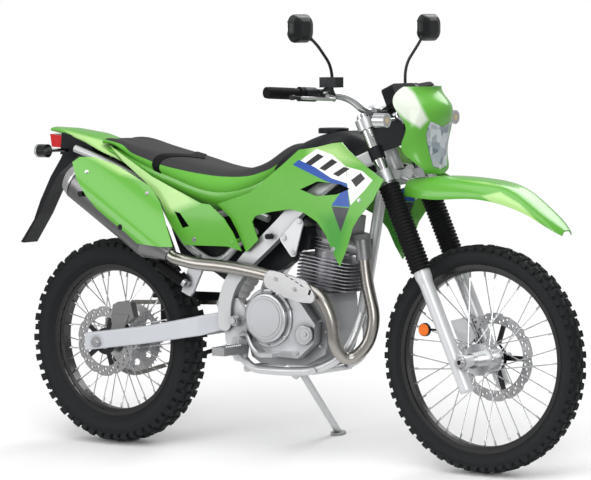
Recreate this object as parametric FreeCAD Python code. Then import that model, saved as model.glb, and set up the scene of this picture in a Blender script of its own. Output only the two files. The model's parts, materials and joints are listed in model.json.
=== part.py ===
import FreeCAD, Part
import math
import os

# Dual sport motorcycle, leaning on its side stand.
# The bike is drawn upright first: x = 0 at the rear axle and forward, y to the left,
# z = 0 at the ground. It is then leaned over and centred on the floor. All lengths in mm.

Vec = FreeCAD.Vector
origin = Vec(0, 0, 0)
across = Vec(0, 1, 0)
ahead = Vec(1, 0, 0)
upward = Vec(0, 0, 1)

# Stance
wheelbase = 1370.0
lean_angle = 8.5
rake_angle = 24.8
steering_offset = 53.0
leg_lead = 22.0
leg_spread = 98.0
steering_lock = 43.0

# Fits and gaps
seat_gap = 0.3
running_gap = 0.05
panel_gap = 3.0
overrun = 40.0
weld_depth = 4.0
bend_share = 0.45
loft_degree = 3

# Wheels and tyres
rear_tyre_radius = 322.0
rear_tyre_width = 106.0
rear_bead_radius = 231.0
rear_rim_width = 62.0
front_tyre_radius = 336.0
front_tyre_width = 76.0
front_bead_radius = 269.0
front_rim_width = 48.0
tread_flat = 42.0
rim_wall = 3.2
rim_well_depth = 12.0
rim_well_share = 0.42
rim_shoulder_share = 0.62
rim_flange = 9.0
spoke_count = 36
spoke_radius = 1.8
spoke_swing = 46.0
spoke_offset = 3.4
hub_flange_radius = 47.0
hub_flange_wall = 6.0
hub_flange_spread = 29.0
hub_barrel_radius = 30.0
hub_boss_radius = 24.0
axle_radius = 10.0
axle_bore_radius = 6.5
axle_bore_depth = 40.0
tyre_width_shares = (0.25, 0.49, 0.46)
tyre_height_shares = (0.10, 0.45, 0.76)
tyre_sides = 30
groove_width = 14.0
groove_depth = 7.0
groove_start = 9.0

# Brake discs and sprocket
disc_wall = 3.6
front_disc_radius = 131.0
front_disc_y = 60.0
rear_disc_radius = 110.0
rear_disc_y = 72.0
disc_band = 32.0
disc_wave_count = 10
disc_wave_radius = 26.0
disc_wave_depth = 4.0
disc_arm_count = 5
disc_arm_width = 16.0
disc_hub_radius = 42.0
chain_pitch = 15.875
sprocket_teeth = 45
drive_teeth = 14
chain_line_y = 72.0
sprocket_wall = 5.0
tooth_height = 4.5
sprocket_window_count = 9
sprocket_window_radius = 11.0
chain_band_height = 14.0
chain_band_wall = 2.0
chain_inner_gap = 10.0
roller_radius = 5.0

# Swingarm and rear axle
pivot_x = 550.0
pivot_z = 418.0
pivot_radius = 20.0
arm_width = 28.0
arm_outer_y = 116.0
arm_rear_height = 56.0
arm_front_height = 62.0
arm_waist_x = 400.0
arm_pivot_y = 76.0
arm_tail = 48.0
arm_corner = 7.0
arm_rise_shares = (0.36, 0.74, 0.93)
arm_neck = 76.0
bridge_x = 385.0
bridge_radius = 24.0
axle_end_length = 14.0
axle_nut_radius = 15.0
spacer_radius = 17.0

# Frame
head_tube_radius = 27.0
head_tube_low = 622.0
head_tube_high = 746.0
stem_radius = 15.0
spar_width = 28.0
spar_height = 48.0
spar_y = 104.0
spar_corner = 8.0
down_tube_radius = 17.0
cradle_radius = 13.0
plate_wall = 10.0
plate_y = 98.0
rail_radius = 12.0
rail_y = 78.0
stay_y = 99.0

# Engine
case_half_width = 90.0
sprocket_side_y = 57.0
clutch_x = 682.0
clutch_z = 434.0
clutch_radius = 75.0
clutch_cover_y = 149.0
clutch_step = 14.0
cover_seam_y = 134.0
small_cover_x = 815.0
small_cover_z = 388.0
small_cover_radius = 29.0
generator_x = 770.0
generator_z = 405.0
generator_radius = 72.0
generator_y = 132.0
cylinder_x = 818.0
cylinder_z = 520.0
cylinder_tilt = 8.0
cylinder_length = 118.0
fin_length = 196.0
fin_width = 148.0
fin_wall = 3.0
fin_pitch = 10.5
fin_count = 9
fin_corner = 22.0
barrel_radius = 58.0
head_length = 184.0
head_width = 138.0
head_height = 62.0
head_fin_count = 4
cam_cover_height = 52.0
cam_cover_length = 132.0
cam_cover_width = 104.0

# Exhaust
header_radius = 19.0
silencer_radius = 62.0
silencer_length = 372.0
silencer_cone = 78.0
silencer_slope = 31.6
silencer_x = 330.0
silencer_y = 158.0
silencer_z = 613.0
silencer_cap = 34.0
outlet_radius = 17.0
outlet_depth = 40.0
guard_standoff = 10.0
guard_wall = 3.0

# Seat, tank and panels
seat_length = 752.0
seat_low_z = 778.0
seat_height = 182.0
seat_half_width = 120.0
tank_rear_x = 668.0
tank_length = 312.0
tank_low_z = 792.0
tank_height = 204.0
tank_half_width = 110.0
cap_x = 834.0
cap_radius = 46.0
cap_height = 16.0
panel_wall = 3.5
shroud_x = 481.0
shroud_length = 655.0
shroud_z = 603.0
shroud_height = 364.0
shroud_flare = 0.105
shroud_flare_x = 800.0
cover_x = 60.0
cover_length = 531.0
cover_z = 629.0
cover_height = 310.0

# Front end
fork_tube_radius = 18.5
slider_radius = 21.0
boot_radius = 32.0
boot_fold = 5.0
boot_count = 12
slider_low = -82.0
boot_low = 298.0
boot_high = 574.0
clamp_low = 580.0
clamp_low_height = 38.0
clamp_high = 750.0
clamp_high_height = 34.0
fork_top = 800.0
front_axle_lead = 31.0
bar_radius = 11.0
grip_radius = 16.5
grip_length = 126.0

# Frame outlines, as shares of the way from the pivot to the steering head
seat_run = 485.0
rail_shares = ((0.20, 0.60), (0.0, 0.655), (-0.27, 0.60), (-0.75, 0.80), (-1.10, 0.915), (-1.36, 0.985))
stay_shares = ((0.13, 0.53, 1.0), (0.02, 0.47, 1.0), (-0.17, 0.31, 1.0), (-0.43, 0.43, 1.0),
               (-0.66, 0.72, 0.86), (-0.80, 0.815, 0.80))
rail_tie_shares = ((-0.75, 0.80), (-0.27, 0.60), (-1.10, 0.915))
tie_shares = ((0.02, 0.355), (0.05, -0.285), (0.56, -0.275))
tie_radius = 11.0
pivot_bolt_radius = 9.0
bolt_head = 7.0

# Side stand
stand_ahead = 62.0
stand_out = 30.0
stand_drop = 168.0
foot_ahead = 44.0
foot_out = 142.0
stand_rise_share = 0.12
stand_eye_half = 12.0
stand_eye_radius = 15.0
stand_pin_radius = 7.0
stand_head_radius = 11.0
stand_boss_length = 18.0
stand_web_radius = 9.0
stand_root_shares = (0.12, -0.285)
stand_root_share_y = 0.96
stand_leg_radius = 11.0
foot_radius = 24.0
foot_height = 8.0

# Engine outlines
case_length = 330.0
case_low_z = 290.0
case_height = 226.0
case_shares = ((0.10, 0.76), (0.075, 0.55), (0.075, 0.30), (0.12, 0.08), (0.22, 0.0), (0.72, 0.0),
               (0.95, 0.17),
               (1.0, 0.46), (1.0, 0.85))
case_rear_share = (0.27, 0.98)
case_lip = 8.0
case_left_shares = ((0.42, 0.06), (0.70, 0.04), (0.90, 0.20), (0.96, 0.48), (0.90, 0.78), (0.66, 0.92),
                    (0.42, 0.86))
cover_edge = 7.0
cover_span = 292.0
cover_rise = 170.0
cover_shares = ((0.02, 0.14), (0.25, -0.24), (0.62, -0.26), (0.82, 0.02), (0.84, 0.36), (0.66, 0.72),
                (0.50, 0.80), (0.10, 0.80))
filler_radius = 13.0
hood_radius = 82.0
hood_back = 42.0
fin_shift = 11.0
port_y = -46.0
port_rise = 27.0
port_reach = 34.0
port_elbow = 30.0
elbow_wall = 6.0
inlet_length = 30.0
inlet_radius = 24.0
airbox_x = 436.0
airbox_length = 262.0
airbox_height = 156.0
airbox_half_width = 60.0
airbox_shares = ((0.0, 0.30), (0.30, 0.0), (0.62, 0.0), (1.0, 0.20), (1.0, 0.80), (0.75, 0.96),
                 (0.35, 1.0), (0.0, 0.62))

# Exhaust outlines
header_y = 143.0
header_span = 450.0
header_rise = 200.0
header_shares = (
    (0.965, 0.31, 0.66),
    (1.03, 0.31, 0.10),
    (0.985, 0.36, -0.30),
    (0.87, 0.56, -0.55),
    (0.815, 0.84, -0.30),
    (0.815, 0.90, 0.12),
    (0.735, 0.97, 0.48),
    (0.54, 1.0, 0.62),
    (0.28, 1.0, 0.74),
    (0.0, 1.0, 0.82),
    (-0.30, 1.04, 0.85),
)
shield_x = 700.0
shield_z = 494.0
shield_length = 184.0
shield_height = 86.0
shield_gap = 6.0
shield_clip_shares = ((0.33, 0.54), (0.74, 0.40))
shield_shares = ((0.0, 0.62), (0.10, 0.93), (0.28, 0.62), (0.80, 0.70), (1.0, 0.14), (0.92, 0.0),
                 (0.66, 0.0), (0.28, 0.26))
guard_x = -15.0
guard_z = 641.0
guard_length = 396.0
guard_height = 266.0
guard_shares = ((0.0, 0.94), (0.09, 0.733), (0.185, 0.565), (0.29, 0.415), (0.44, 0.27), (0.58, 0.15),
                (0.69, 0.03),
                (0.90, 0.0), (1.0, 0.0), (0.885, 0.25), (0.79, 0.50), (0.69, 0.67), (0.53, 0.79), (0.36,
                                                                                                   0.91),
                (0.16, 1.0), (0.04, 1.0))
guard_profile_shares = ((1.045, 0.0), (1.06, 0.12), (1.045, 0.33), (0.955, 0.56), (0.86, 0.78),
                        (0.79, 1.0), (0.74, 1.30))
post_radius = 7.0

# Seat, tank and tail sections: share along, of half width, low edge, top edge
seat_rows = (
    (0.0, 0.72, 0.90, 0.99),
    (0.09, 0.88, 0.88, 0.99),
    (0.28, 0.98, 0.48, 0.83),
    (0.46, 1.0, 0.19, 0.67),
    (0.615, 0.95, 0.02, 0.54),
    (0.74, 0.78, 0.08, 0.56),
    (0.895, 0.58, 0.45, 0.86),
    (1.0, 0.46, 0.86, 0.97),
)
cushion_shares = ((0.0, 0.0), (0.80, 0.02), (1.0, 0.30), (0.95, 0.74), (0.60, 0.97), (0.0, 1.0),
                  (-0.60, 0.97), (-0.95, 0.74), (-1.0, 0.30), (-0.80, 0.02))
tank_rows = (
    (0.0, 0.66, 0.06, 0.66),
    (0.32, 0.92, 0.0, 0.86),
    (0.52, 1.0, 0.0, 0.96),
    (0.72, 0.90, 0.05, 1.0),
    (0.86, 0.50, 0.20, 0.93),
    (1.0, 0.28, 0.40, 0.80),
)
tank_shares = ((0.0, 0.0), (0.78, 0.06), (1.0, 0.40), (0.94, 0.74), (0.55, 0.96), (0.0, 1.0),
               (-0.55, 0.96), (-0.94, 0.74), (-1.0, 0.40), (-0.78, 0.06))
tail_x = -259.0
tail_length = 400.0
tail_low_z = 866.0
tail_height = 128.0
tail_half_width = 108.0
tail_rows = (
    (0.0, 0.26, 0.88, 0.99),
    (0.21, 0.48, 0.80, 0.97),
    (0.46, 0.74, 0.60, 0.86),
    (0.62, 0.88, 0.42, 0.70),
    (0.71, 0.93, 0.34, 0.54),
    (0.82, 0.96, 0.23, 0.45),
    (1.0, 0.96, 0.0, 0.22),
)
tail_shares = ((0.0, 0.0), (0.84, 0.04), (1.0, 0.24), (0.92, 0.62), (0.55, 0.92), (0.0, 1.0),
               (-0.55, 0.92), (-0.92, 0.62), (-1.0, 0.24), (-0.84, 0.04))

# Panels
shroud_y = 152.0
shroud_shares = (
    (1.0, 0.71), (0.95, 0.55), (0.865, 0.40), (0.83, 0.315), (0.795, 0.15), (0.75, 0.0), (0.71, 0.11),
    (0.67, 0.25), (0.62, 0.35), (0.54, 0.42), (0.455, 0.445), (0.335, 0.415), (0.24, 0.375), (0.22, 0.325),
    (0.255, 0.175), (0.18, 0.07), (0.13, 0.235), (0.085, 0.35), (0.0, 0.46), (0.20, 0.565), (0.265, 0.64),
    (0.39, 0.81), (0.47, 0.93), (0.575, 0.955), (0.665, 0.99), (0.72, 1.0), (0.765, 0.94), (0.875, 0.825),
)
slot_shares = ((0.51, 0.61), (0.61, 0.68), (0.75, 0.665), (0.81, 0.63), (0.73, 0.58), (0.61, 0.56))
shroud_profile_shares = ((0.70, 1.03), (0.80, 0.90), (0.93, 0.70), (0.99, 0.50), (1.0, 0.30), (0.98, -0.03))
side_y = 150.0
side_shares = (
    (0.03, 0.96), (0.115, 0.85), (0.30, 0.655), (0.42, 0.485), (0.495, 0.25), (0.59, 0.045), (0.90, 0.05),
    (1.0, 0.01), (0.945, 0.195), (0.885, 0.325), (0.78, 0.455), (0.715, 0.465), (0.34, 0.71), (0.0, 1.0),
)
side_slot_shares = ((0.525, 0.378), (0.57, 0.36), (0.635, 0.235), (0.585, 0.213))
side_profile_shares = ((0.74, 1.05), (0.86, 0.78), (0.96, 0.55), (1.0, 0.25), (0.93, -0.03))

# Tail lamp and plate hanger outlines
tail_lamp_x = -238.0
tail_lamp_z = 927.0
tail_lamp_length = 66.0
tail_lamp_height = 56.0
tail_lamp_half = 50.0
lamp_shares = ((0.0, 0.78), (0.10, 0.05), (0.80, 0.0), (1.0, 0.64))
arch_half = 62.0
arch_shares = (
    (0.20, 0.86), (0.45, 0.70), (0.52, 0.45), (0.62, 0.17), (0.69, 0.128), (0.90, 0.02), (1.15,
                                                                                          -0.42), (1.36,
                                                                                                   -0.95), (1.48, -1.62),
    (1.45, -1.64), (1.32, -0.99), (1.12, -0.48), (0.88, -0.03), (0.62, 0.10), (0.35, 0.30), (0.18, 0.32),
)
flap_half = 34.0
flap_shares = (
    (0.30, 0.60), (0.32, 0.30), (0.10, -0.20), (0.0, -0.66), (-0.10, -1.2), (-0.27, -1.94), (-0.30, -1.92),
    (-0.16, -1.35), (-0.09, -0.86), (0.02, -0.25), (0.13, 0.22), (0.17, 0.46),
)
holder_half = 110.0
holder_shares = ((-0.13, -0.58), (-0.115, -0.62), (-0.25, -1.50), (-0.265, -1.46))
light_shares = ((-0.24, -0.10), (-0.20, -0.34), (0.02, -0.20), (0.08, 0.06), (-0.10, 0.02))

# Lamps on stalks
signal_stalk_radius = 5.5
signal_depth = 40.0
signal_back = 8.0
signal_radius = 21.0
signal_rear_x = -158.0
signal_rear_y = 165.0
signal_rear_z = 922.0
signal_front_setback = 248.0
signal_front_x = wheelbase - signal_front_setback
signal_front_y = 182.0
signal_front_z = 1036.0

# Brake calipers
caliper_x = 34.0
caliper_z = 384.0
caliper_length = 92.0
caliper_height = 66.0
caliper_shares = ((0.0, 0.0), (0.08, 0.85), (0.30, 1.0), (0.85, 1.0), (1.0, 0.30), (0.70, 0.0))
caliper_plate_shares = ((0.10, 0.40), (0.0, -0.75), (0.45, -0.70), (0.80, 0.40))
caliper_half = 13.0
caliper_slot = 2.0
front_caliper_rise = 108.0
front_caliper_back = 28.0

# Foot controls and pegs
lever_radius = 7.0
pedal_route = ((572.0, -124.0, 374.0), (606.0, -136.0, 382.0), (640.0, -160.0, 345.0),
               (676.0, -172.0, 322.0), (716.0, -176.0, 326.0))
pad_low = (700.0, -200.0, 322.0)
pad_high = (746.0, -160.0, 333.0)
gear_route = ((640.0, 118.0, 330.0), (676.0, 124.0, 322.0), (730.0, 138.0, 330.0), (772.0, 142.0, 342.0))
toe_length = 34.0
peg_x = 566.0
peg_z = 332.0
peg_width = 46.0
peg_height = 26.0
peg_root = 26.0
peg_length = 92.0
peg_plate_x = 300.0
peg_plate_z = 484.0
peg_plate_length = 130.0
peg_plate_height = 130.0
peg_plate_shares = ((0.58, 0.0), (0.68, 0.10), (1.0, 0.72), (0.86, 1.0), (0.60, 0.86), (0.34, 0.10))
rear_peg_radius = 13.0
rear_peg_length = 112.0

# Shock absorber and chain guard
shock_eye = 15.0
shock_radius = 36.0
shock_groove = 9.0
shock_coils = 7
chain_guard_x = 60.0
chain_guard_z = 446.0
chain_guard_length = 330.0
chain_guard_height = 34.0
chain_guard_feet_shares = (0.10, 0.80)
chain_guard_shares = ((0.0, 0.15), (1.0, 0.15), (1.0, 0.62), (0.9, 1.0), (0.1, 0.9), (0.0, 0.5))

# Front end details
clamp_wall = 9.0
clamp_shares = ((1.3, 0.16), (0.3, 0.95), (2.0, 0.95), (1.5, 0.35))
bar_lead = 12.0
bar_rise = 26.0
bar_reach = 105.0
bar_half = 419.0
bar_height = 66.0
bar_shares = ((0.0, 0.0, 0.0), (0.0, 0.19, 0.0), (-0.20, 0.27, 0.52), (-0.36, 0.36, 0.74),
              (-1.0, 1.0, 0.95))
perch_y = 34.0
perch_half = 11.0
fender_post_length = 62.0
fender_post_drop = 0.9
lug_half = 12.0
grip_end = 6.0
housing_radius = 21.0
housing_length = 42.0
perch_length = 34.0
lever_lead = 46.0
lever_drop = 12.0
lever_root = 8.0
reservoir_lead = 44.0
reservoir_rise = 22.0
reservoir_length = 58.0
reservoir_width = 40.0
reservoir_height = 30.0
mirror_lead = 12.0
mirror_root_gap = 12.0
mirror_rise = 196.0
mirror_out = 132.0
mirror_back = 18.0
mirror_stem_radius = 5.0
mirror_width = 116.0
mirror_height = 84.0
mirror_depth = 28.0
mirror_corner = 30.0
cowl_setback = 250.0
cowl_x = wheelbase - cowl_setback
cowl_z = 876.0
cowl_depth = 124.0
cowl_height = 256.0
cowl_half = 112.0
cowl_rows = (
    (0.0, 0.60, 0.82, 0.42),
    (0.165, 0.42, 0.83, 0.78),
    (0.36, 0.26, 0.83, 0.93),
    (0.525, 0.40, 0.86, 0.97),
    (0.71, 0.18, 1.0, 1.0),
    (0.875, 0.04, 0.82, 0.96),
    (1.0, 0.20, 0.70, 0.74),
)
cowl_plan_shares = ((0.0, -1.0), (0.45, -0.86), (0.86, -0.45), (1.0, 0.0), (0.86, 0.45), (0.45, 0.86),
                    (0.0, 1.0))
lens_middle = 0.33
lens_half = 62.0
lens_height = 140.0
lens_shares = ((0.0, 0.87), (0.90, 1.0), (1.0, 0.76), (0.58, 0.05), (0.0, 0.0), (-0.58, 0.05),
               (-1.0, 0.76), (-0.90, 1.0))
lens_wall = 12.0
lamp_back_setback = 234.0
lamp_back_x = wheelbase - lamp_back_setback
lamp_half = 52.0
bracket_setback = 340.0
bracket_x = wheelbase - bracket_setback
bracket_z = 930.0
bracket_length = 146.0
bracket_height = 132.0
bracket_y = 98.0
bracket_rise = 655.0
lug_radius = 8.0
lug_rise_share = 0.53
lug_arm_shares = ((0.70, 0.40), (1.0, 0.46), (1.0, 0.60), (0.70, 0.70))
bracket_shares = ((0.0, 0.36), (0.06, 0.0), (0.60, 0.16), (0.80, 0.24), (0.92, 0.50), (0.78, 0.78),
                  (0.44, 0.97), (0.20, 0.80))
dash_setback = 298.0
dash_x = wheelbase - dash_setback
dash_z = 1066.0
dash_depth = 44.0
dash_height = 62.0
dash_half = 60.0
dash_corner = 12.0
dash_tilt = 24.0
dash_stem_lead = 30.0
fender_setback = 238.0
fender_x = wheelbase - fender_setback
fender_z = 715.0
fender_length = 522.0
fender_height = 154.0
fender_half = 86.0
fender_rows = (
    (0.0, 0.95, 0.60, 0.74),
    (0.14, 0.99, 0.585, 0.94),
    (0.32, 1.0, 0.585, 0.98),
    (0.52, 0.95, 0.60, 0.98),
    (0.65, 0.86, 0.53, 0.92),
    (0.77, 0.65, 0.40, 0.80),
    (0.90, 0.33, 0.17, 0.64),
    (1.0, 0.05, -0.05, 0.30),
)
fender_plan_shares = ((-1.0, 0.0), (-0.92, 0.55), (-0.62, 0.92), (0.0, 1.0), (0.62, 0.92), (0.92, 0.55),
                      (1.0, 0.0))

# Hoses and cables, by hand along what carries them


def mirrored(shape):
    return shape.mirror(origin, across)


def both_sides(shape):
    return Part.makeCompound([shape, mirrored(shape)])


def spots(shares, start_x, start_z, length, height):
    return [(start_x + length * along, start_z + height * up) for along, up in shares]


def joined(first, others):
    # A plain fuse keeps every face as it was drawn
    if not isinstance(others, (list, tuple)):
        others = [others]
    whole = first.fuse(others)
    return single(whole)


def single(shape):
    solids = shape.Solids
    if len(solids) == 1:
        return solids[0]
    return Part.makeCompound(solids)


def polygon_wire(corners):
    return Part.makePolygon(list(corners) + [corners[0]])


def slab(outline, y_from, y_to):
    # A plate whose side-view outline is given as (x, z) points
    face = Part.Face(polygon_wire([Vec(x, y_from, z) for x, z in outline]))
    return face.extrude(Vec(0, y_to - y_from, 0))


def rod(start, end, radius):
    run = end - start
    return Part.makeCylinder(radius, run.Length, start, run)


def six_sided_rod(start, end, radius):
    run = end - start
    side = max((run.cross(across), run.cross(ahead)), key=lambda way: way.Length)
    side.normalize()
    turn = FreeCAD.Rotation(run, 60)
    corners = []
    for _ in range(6):
        corners.append(start + side * radius)
        side = turn.multVec(side)
    return Part.Face(polygon_wire(corners)).extrude(run)


def disc_block(center, radius, y_from, y_to):
    low = min(y_from, y_to)
    return Part.makeCylinder(radius, abs(y_to - y_from), Vec(center[0], low, center[1]), across)


def block(low, high):
    return Part.makeBox(high[0] - low[0], high[1] - low[1], high[2] - low[2], Vec(*low))


def bends(points):
    # Each corner of a route becomes a tangent arc, as large as its two runs allow
    found = []
    for before, corner, after in zip(points, points[1:], points[2:]):
        run_in = corner - before
        run_out = after - corner
        turn = run_in.getAngle(run_out)
        reach = bend_share * min(run_in.Length, run_out.Length)
        way_in = Vec(run_in).normalize()
        way_out = Vec(run_out).normalize()
        radius = reach / math.tan(turn / 2)
        hub = (way_out - way_in).normalize()
        middle = corner + hub * (radius / math.cos(turn / 2) - radius)
        center = corner + hub * (radius / math.cos(turn / 2))
        found.append((corner - way_in * reach, middle, corner + way_out * reach, center, way_in, way_out,
                      turn))
    return found


def route_wire(points):
    edges = []
    here = points[0]
    for first, middle, last, _, _, _, _ in bends(points):
        edges.append(Part.LineSegment(here, first).toShape())
        edges.append(Part.Arc(first, middle, last).toShape())
        here = last
    edges.append(Part.LineSegment(here, points[-1]).toShape())
    return Part.Wire(edges)


def tube(points, radius):
    # Straight runs and turned bends that share their end circles
    pieces = []
    here = points[0]
    for first, _, last, center, way_in, way_out, turn in bends(points):
        pieces.append(rod(here, first, radius))
        section = Part.Face(Part.Wire(Part.makeCircle(radius, first, way_in)))
        pieces.append(section.revolve(center, way_in.cross(way_out), math.degrees(turn)))
        here = last
    pieces.append(rod(here, points[-1], radius))
    if len(pieces) == 1:
        return pieces[0]
    return joined(pieces[0], pieces[1:])


def smooth_body(wires):
    return single(Part.makeLoft(wires, True, False, False, loft_degree))


def ruled_body(wires):
    return single(Part.makeLoft(wires, True, True))


def revolved(profile, center, axis_way):
    # profile holds (along, radius) pairs, turned about the axis through the centre
    way = Vec(axis_way).normalize()
    side = way.cross(across)
    if side.Length < seat_gap:
        side = way.cross(ahead)
    side.normalize()
    corners = [center + way * along + side * radius for along, radius in profile]
    face = Part.Face(polygon_wire(corners))
    return single(face.revolve(center, way, 360))


def rounded_rectangle(width, height, corner, center, wide_way, high_way):
    w = width / 2 - corner
    h = height / 2 - corner
    cut = corner * (1 - math.cos(math.radians(45)))
    edges = []
    marks = []
    for sx, sy in ((1, 1), (-1, 1), (-1, -1), (1, -1)):
        hub = center + wide_way * (sx * w) + high_way * (sy * h)
        start = hub + (wide_way * (sx * corner) if sx == sy else high_way * (sy * corner))
        end = hub + (high_way * (sy * corner) if sx == sy else wide_way * (sx * corner))
        outer = Vec(wide_way * sx + high_way * sy).normalize()
        marks.append((start, hub + outer * corner, end))
    for index, (start, middle, end) in enumerate(marks):
        edges.append(Part.Arc(start, middle, end).toShape())
        following = marks[(index + 1) % len(marks)][0]
        edges.append(Part.LineSegment(end, following).toShape())
    return Part.Wire(edges)


# Steering geometry: the axis and the fork legs, with a distance measured up along them
rake = math.radians(rake_angle)
fork_way = Vec(-math.sin(rake), 0, math.cos(rake))
fork_lead = Vec(math.cos(rake), 0, math.sin(rake))
front_axle = Vec(wheelbase, 0, front_tyre_radius)
rear_axle = Vec(0, 0, rear_tyre_radius)
steering_foot = front_axle - fork_lead * steering_offset


def on_axis(rise, lead=0.0, side=0.0):
    return steering_foot + fork_way * rise + fork_lead * lead + across * side


def on_leg(rise, lead=0.0, side=1):
    return on_axis(rise, leg_lead + lead, leg_spread * side)


def tyre_profile(tyre_radius, tyre_width, bead_radius, rim_width):
    depth = tyre_radius - bead_radius
    flange_inside = rim_width / 2 - rim_wall - seat_gap
    half = [(flange_inside, bead_radius + seat_gap), (flange_inside, bead_radius + rim_flange)]
    for across_share, height_share in zip(tyre_width_shares[1:], tyre_height_shares[1:]):
        half.append((tyre_width * across_share, bead_radius + depth * height_share))
    half.append((tread_flat / 2, tyre_radius))
    return half


def tread_groove(center, half, side, turn):
    # One groove that follows the tread from near its middle down over the shoulder
    crown_y, crown = half[-1]
    shoulder_y, shoulder = half[-2]
    outline = [
        (groove_start, crown - groove_depth / 2),
        (groove_start, crown + overrun),
        (shoulder_y + overrun, crown + overrun),
        (shoulder_y + groove_depth, shoulder - groove_depth),
    ]
    corners = [center + Vec(radius, side * y, -groove_width / 2) for y, radius in outline]
    cutter = Part.Face(polygon_wire(corners)).extrude(upward * groove_width)
    cutter.rotate(center, across, turn)
    return cutter


def tyre(center, tyre_radius, tyre_width, bead_radius, rim_width):
    # A ring of flats, each as far from the axle as the round tyre, with one flat on the ground
    half = tyre_profile(tyre_radius, tyre_width, bead_radius, rim_width)
    profile = half + [(-y, r) for y, r in reversed(half)]
    wires = []
    step = 360.0 / tyre_sides
    spread = 1 / math.cos(math.pi / tyre_sides)
    for index in range(tyre_sides):
        turn = math.radians(step * index)
        way = Vec(math.cos(turn), 0, -math.sin(turn))
        corners = [center + way * (r * spread) + across * y for y, r in profile]
        wires.append(polygon_wire(corners))
    ring = single(Part.makeLoft(wires, True, True, True))
    grooves = []
    for index in range(tyre_sides):
        for side in (-1, 1):
            grooves.append(tread_groove(center, half, side, step * (index + 0.5)))
    return single(ring.cut(grooves))


def rim_body(center, bead_radius, rim_width):
    half = rim_width / 2
    well = half * rim_well_share
    shoulder = half * rim_shoulder_share
    bed = bead_radius - rim_well_depth
    under = [
        (half, bead_radius + rim_flange),
        (half, bead_radius - rim_wall),
        (shoulder, bead_radius - rim_wall),
        (well, bed),
    ]
    upper = [
        (half - rim_wall, bead_radius + rim_flange),
        (half - rim_wall, bead_radius),
        (shoulder, bead_radius),
        (well, bed + rim_wall),
    ]
    profile = under + [(-y, r) for y, r in reversed(under)]
    profile += [(-y, r) for y, r in upper] + [(y, r) for y, r in reversed(upper)]
    return revolved(profile, center, across)


def spokes(center, bead_radius):
    # Each flange hole sends one spoke forward and the next one back
    bed = bead_radius - rim_well_depth + rim_wall / 2
    hole_radius = hub_flange_radius - hub_flange_wall
    step = 360.0 / spoke_count
    found = []
    for index in range(spoke_count):
        side = 1 if index % 2 else -1
        swing = spoke_swing if (index // 2) % 2 else -spoke_swing
        outer = 1 if (index // 2) % 2 else -1
        rim_turn = math.radians(step * index)
        hub_turn = math.radians(step * index + swing)
        y_hub = side * (hub_flange_spread + outer * spoke_offset)
        y_rim = side * spoke_offset
        hub_end = center + Vec(hole_radius * math.cos(hub_turn), y_hub, hole_radius * math.sin(hub_turn))
        rim_end = center + Vec(bed * math.cos(rim_turn), y_rim, bed * math.sin(rim_turn))
        found.append(six_sided_rod(hub_end, rim_end, spoke_radius))
    return found


def spoked_wheel(center, bead_radius, rim_width, hub_end_y):
    wheel = rim_body(center, bead_radius, rim_width)
    flange_in = hub_flange_spread - hub_flange_wall
    flange_out = hub_flange_spread + hub_flange_wall
    profile = [
        (-hub_end_y, axle_radius + running_gap),
        (-hub_end_y, hub_boss_radius),
        (-flange_out, hub_boss_radius),
        (-flange_out, hub_flange_radius),
        (-flange_in, hub_flange_radius),
        (-flange_in, hub_barrel_radius),
        (flange_in, hub_barrel_radius),
        (flange_in, hub_flange_radius),
        (flange_out, hub_flange_radius),
        (flange_out, hub_boss_radius),
        (hub_end_y, hub_boss_radius),
        (hub_end_y, axle_radius + running_gap),
    ]
    hub = revolved(profile, center, across)
    return joined(hub, [wheel] + spokes(center, bead_radius))


def brake_disc(center, radius, disc_y):
    # A wavy ring on a carrier with open arms, seated on the wheel's boss
    low = disc_y - disc_wall / 2
    high = disc_y + disc_wall / 2
    middle = (center.x, center.z)
    plate = disc_block(middle, radius, low, high)
    cuts = []
    for index in range(disc_wave_count):
        turn = 2 * math.pi * index / disc_wave_count
        reach = radius + disc_wave_radius - disc_wave_depth
        spot = (center.x + reach * math.cos(turn), center.z + reach * math.sin(turn))
        cuts.append(disc_block(spot, disc_wave_radius, low, high))
    ring_inside = disc_block(middle, radius - disc_band, low, high)
    arms = disc_block(middle, disc_hub_radius, low, high)
    for index in range(disc_arm_count):
        turn = 360.0 * index / disc_arm_count
        arm = block((0, low, -disc_arm_width / 2), (radius - disc_band / 2, high, disc_arm_width / 2))
        arm.rotate(origin, across, turn)
        arm.translate(Vec(center.x, 0, center.z))
        arms = arms.fuse(arm)
    windows = ring_inside.cut(arms)
    bore = disc_block(middle, hub_boss_radius + seat_gap, low, high)
    return single(plate.cut([windows, bore] + cuts))


def pitch_radius(teeth):
    return chain_pitch / 2 / math.sin(math.pi / teeth)


def chain_sprocket(center):
    teeth = sprocket_teeth
    root = pitch_radius(teeth) - roller_radius
    tip = pitch_radius(teeth) + tooth_height
    corners = []
    for index in range(teeth):
        step = 2 * math.pi / teeth
        for share, radius in ((-0.30, root), (0.30, root), (0.44, tip), (0.56, tip)):
            turn = step * (index + share)
            corners.append((center.x + radius * math.cos(turn), center.z + radius * math.sin(turn)))
    low = chain_line_y - sprocket_wall / 2
    high = chain_line_y + sprocket_wall / 2
    plate = slab(corners, low, high)
    middle = (center.x, center.z)
    cuts = [disc_block(middle, hub_boss_radius + seat_gap, low, high)]
    for index in range(sprocket_window_count):
        turn = 2 * math.pi * index / sprocket_window_count
        reach = (root + hub_flange_radius) / 2
        spot = (center.x + reach * math.cos(turn), center.z + reach * math.sin(turn))
        cuts.append(disc_block(spot, sprocket_window_radius, low, high))
    return single(plate.cut(cuts))


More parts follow.
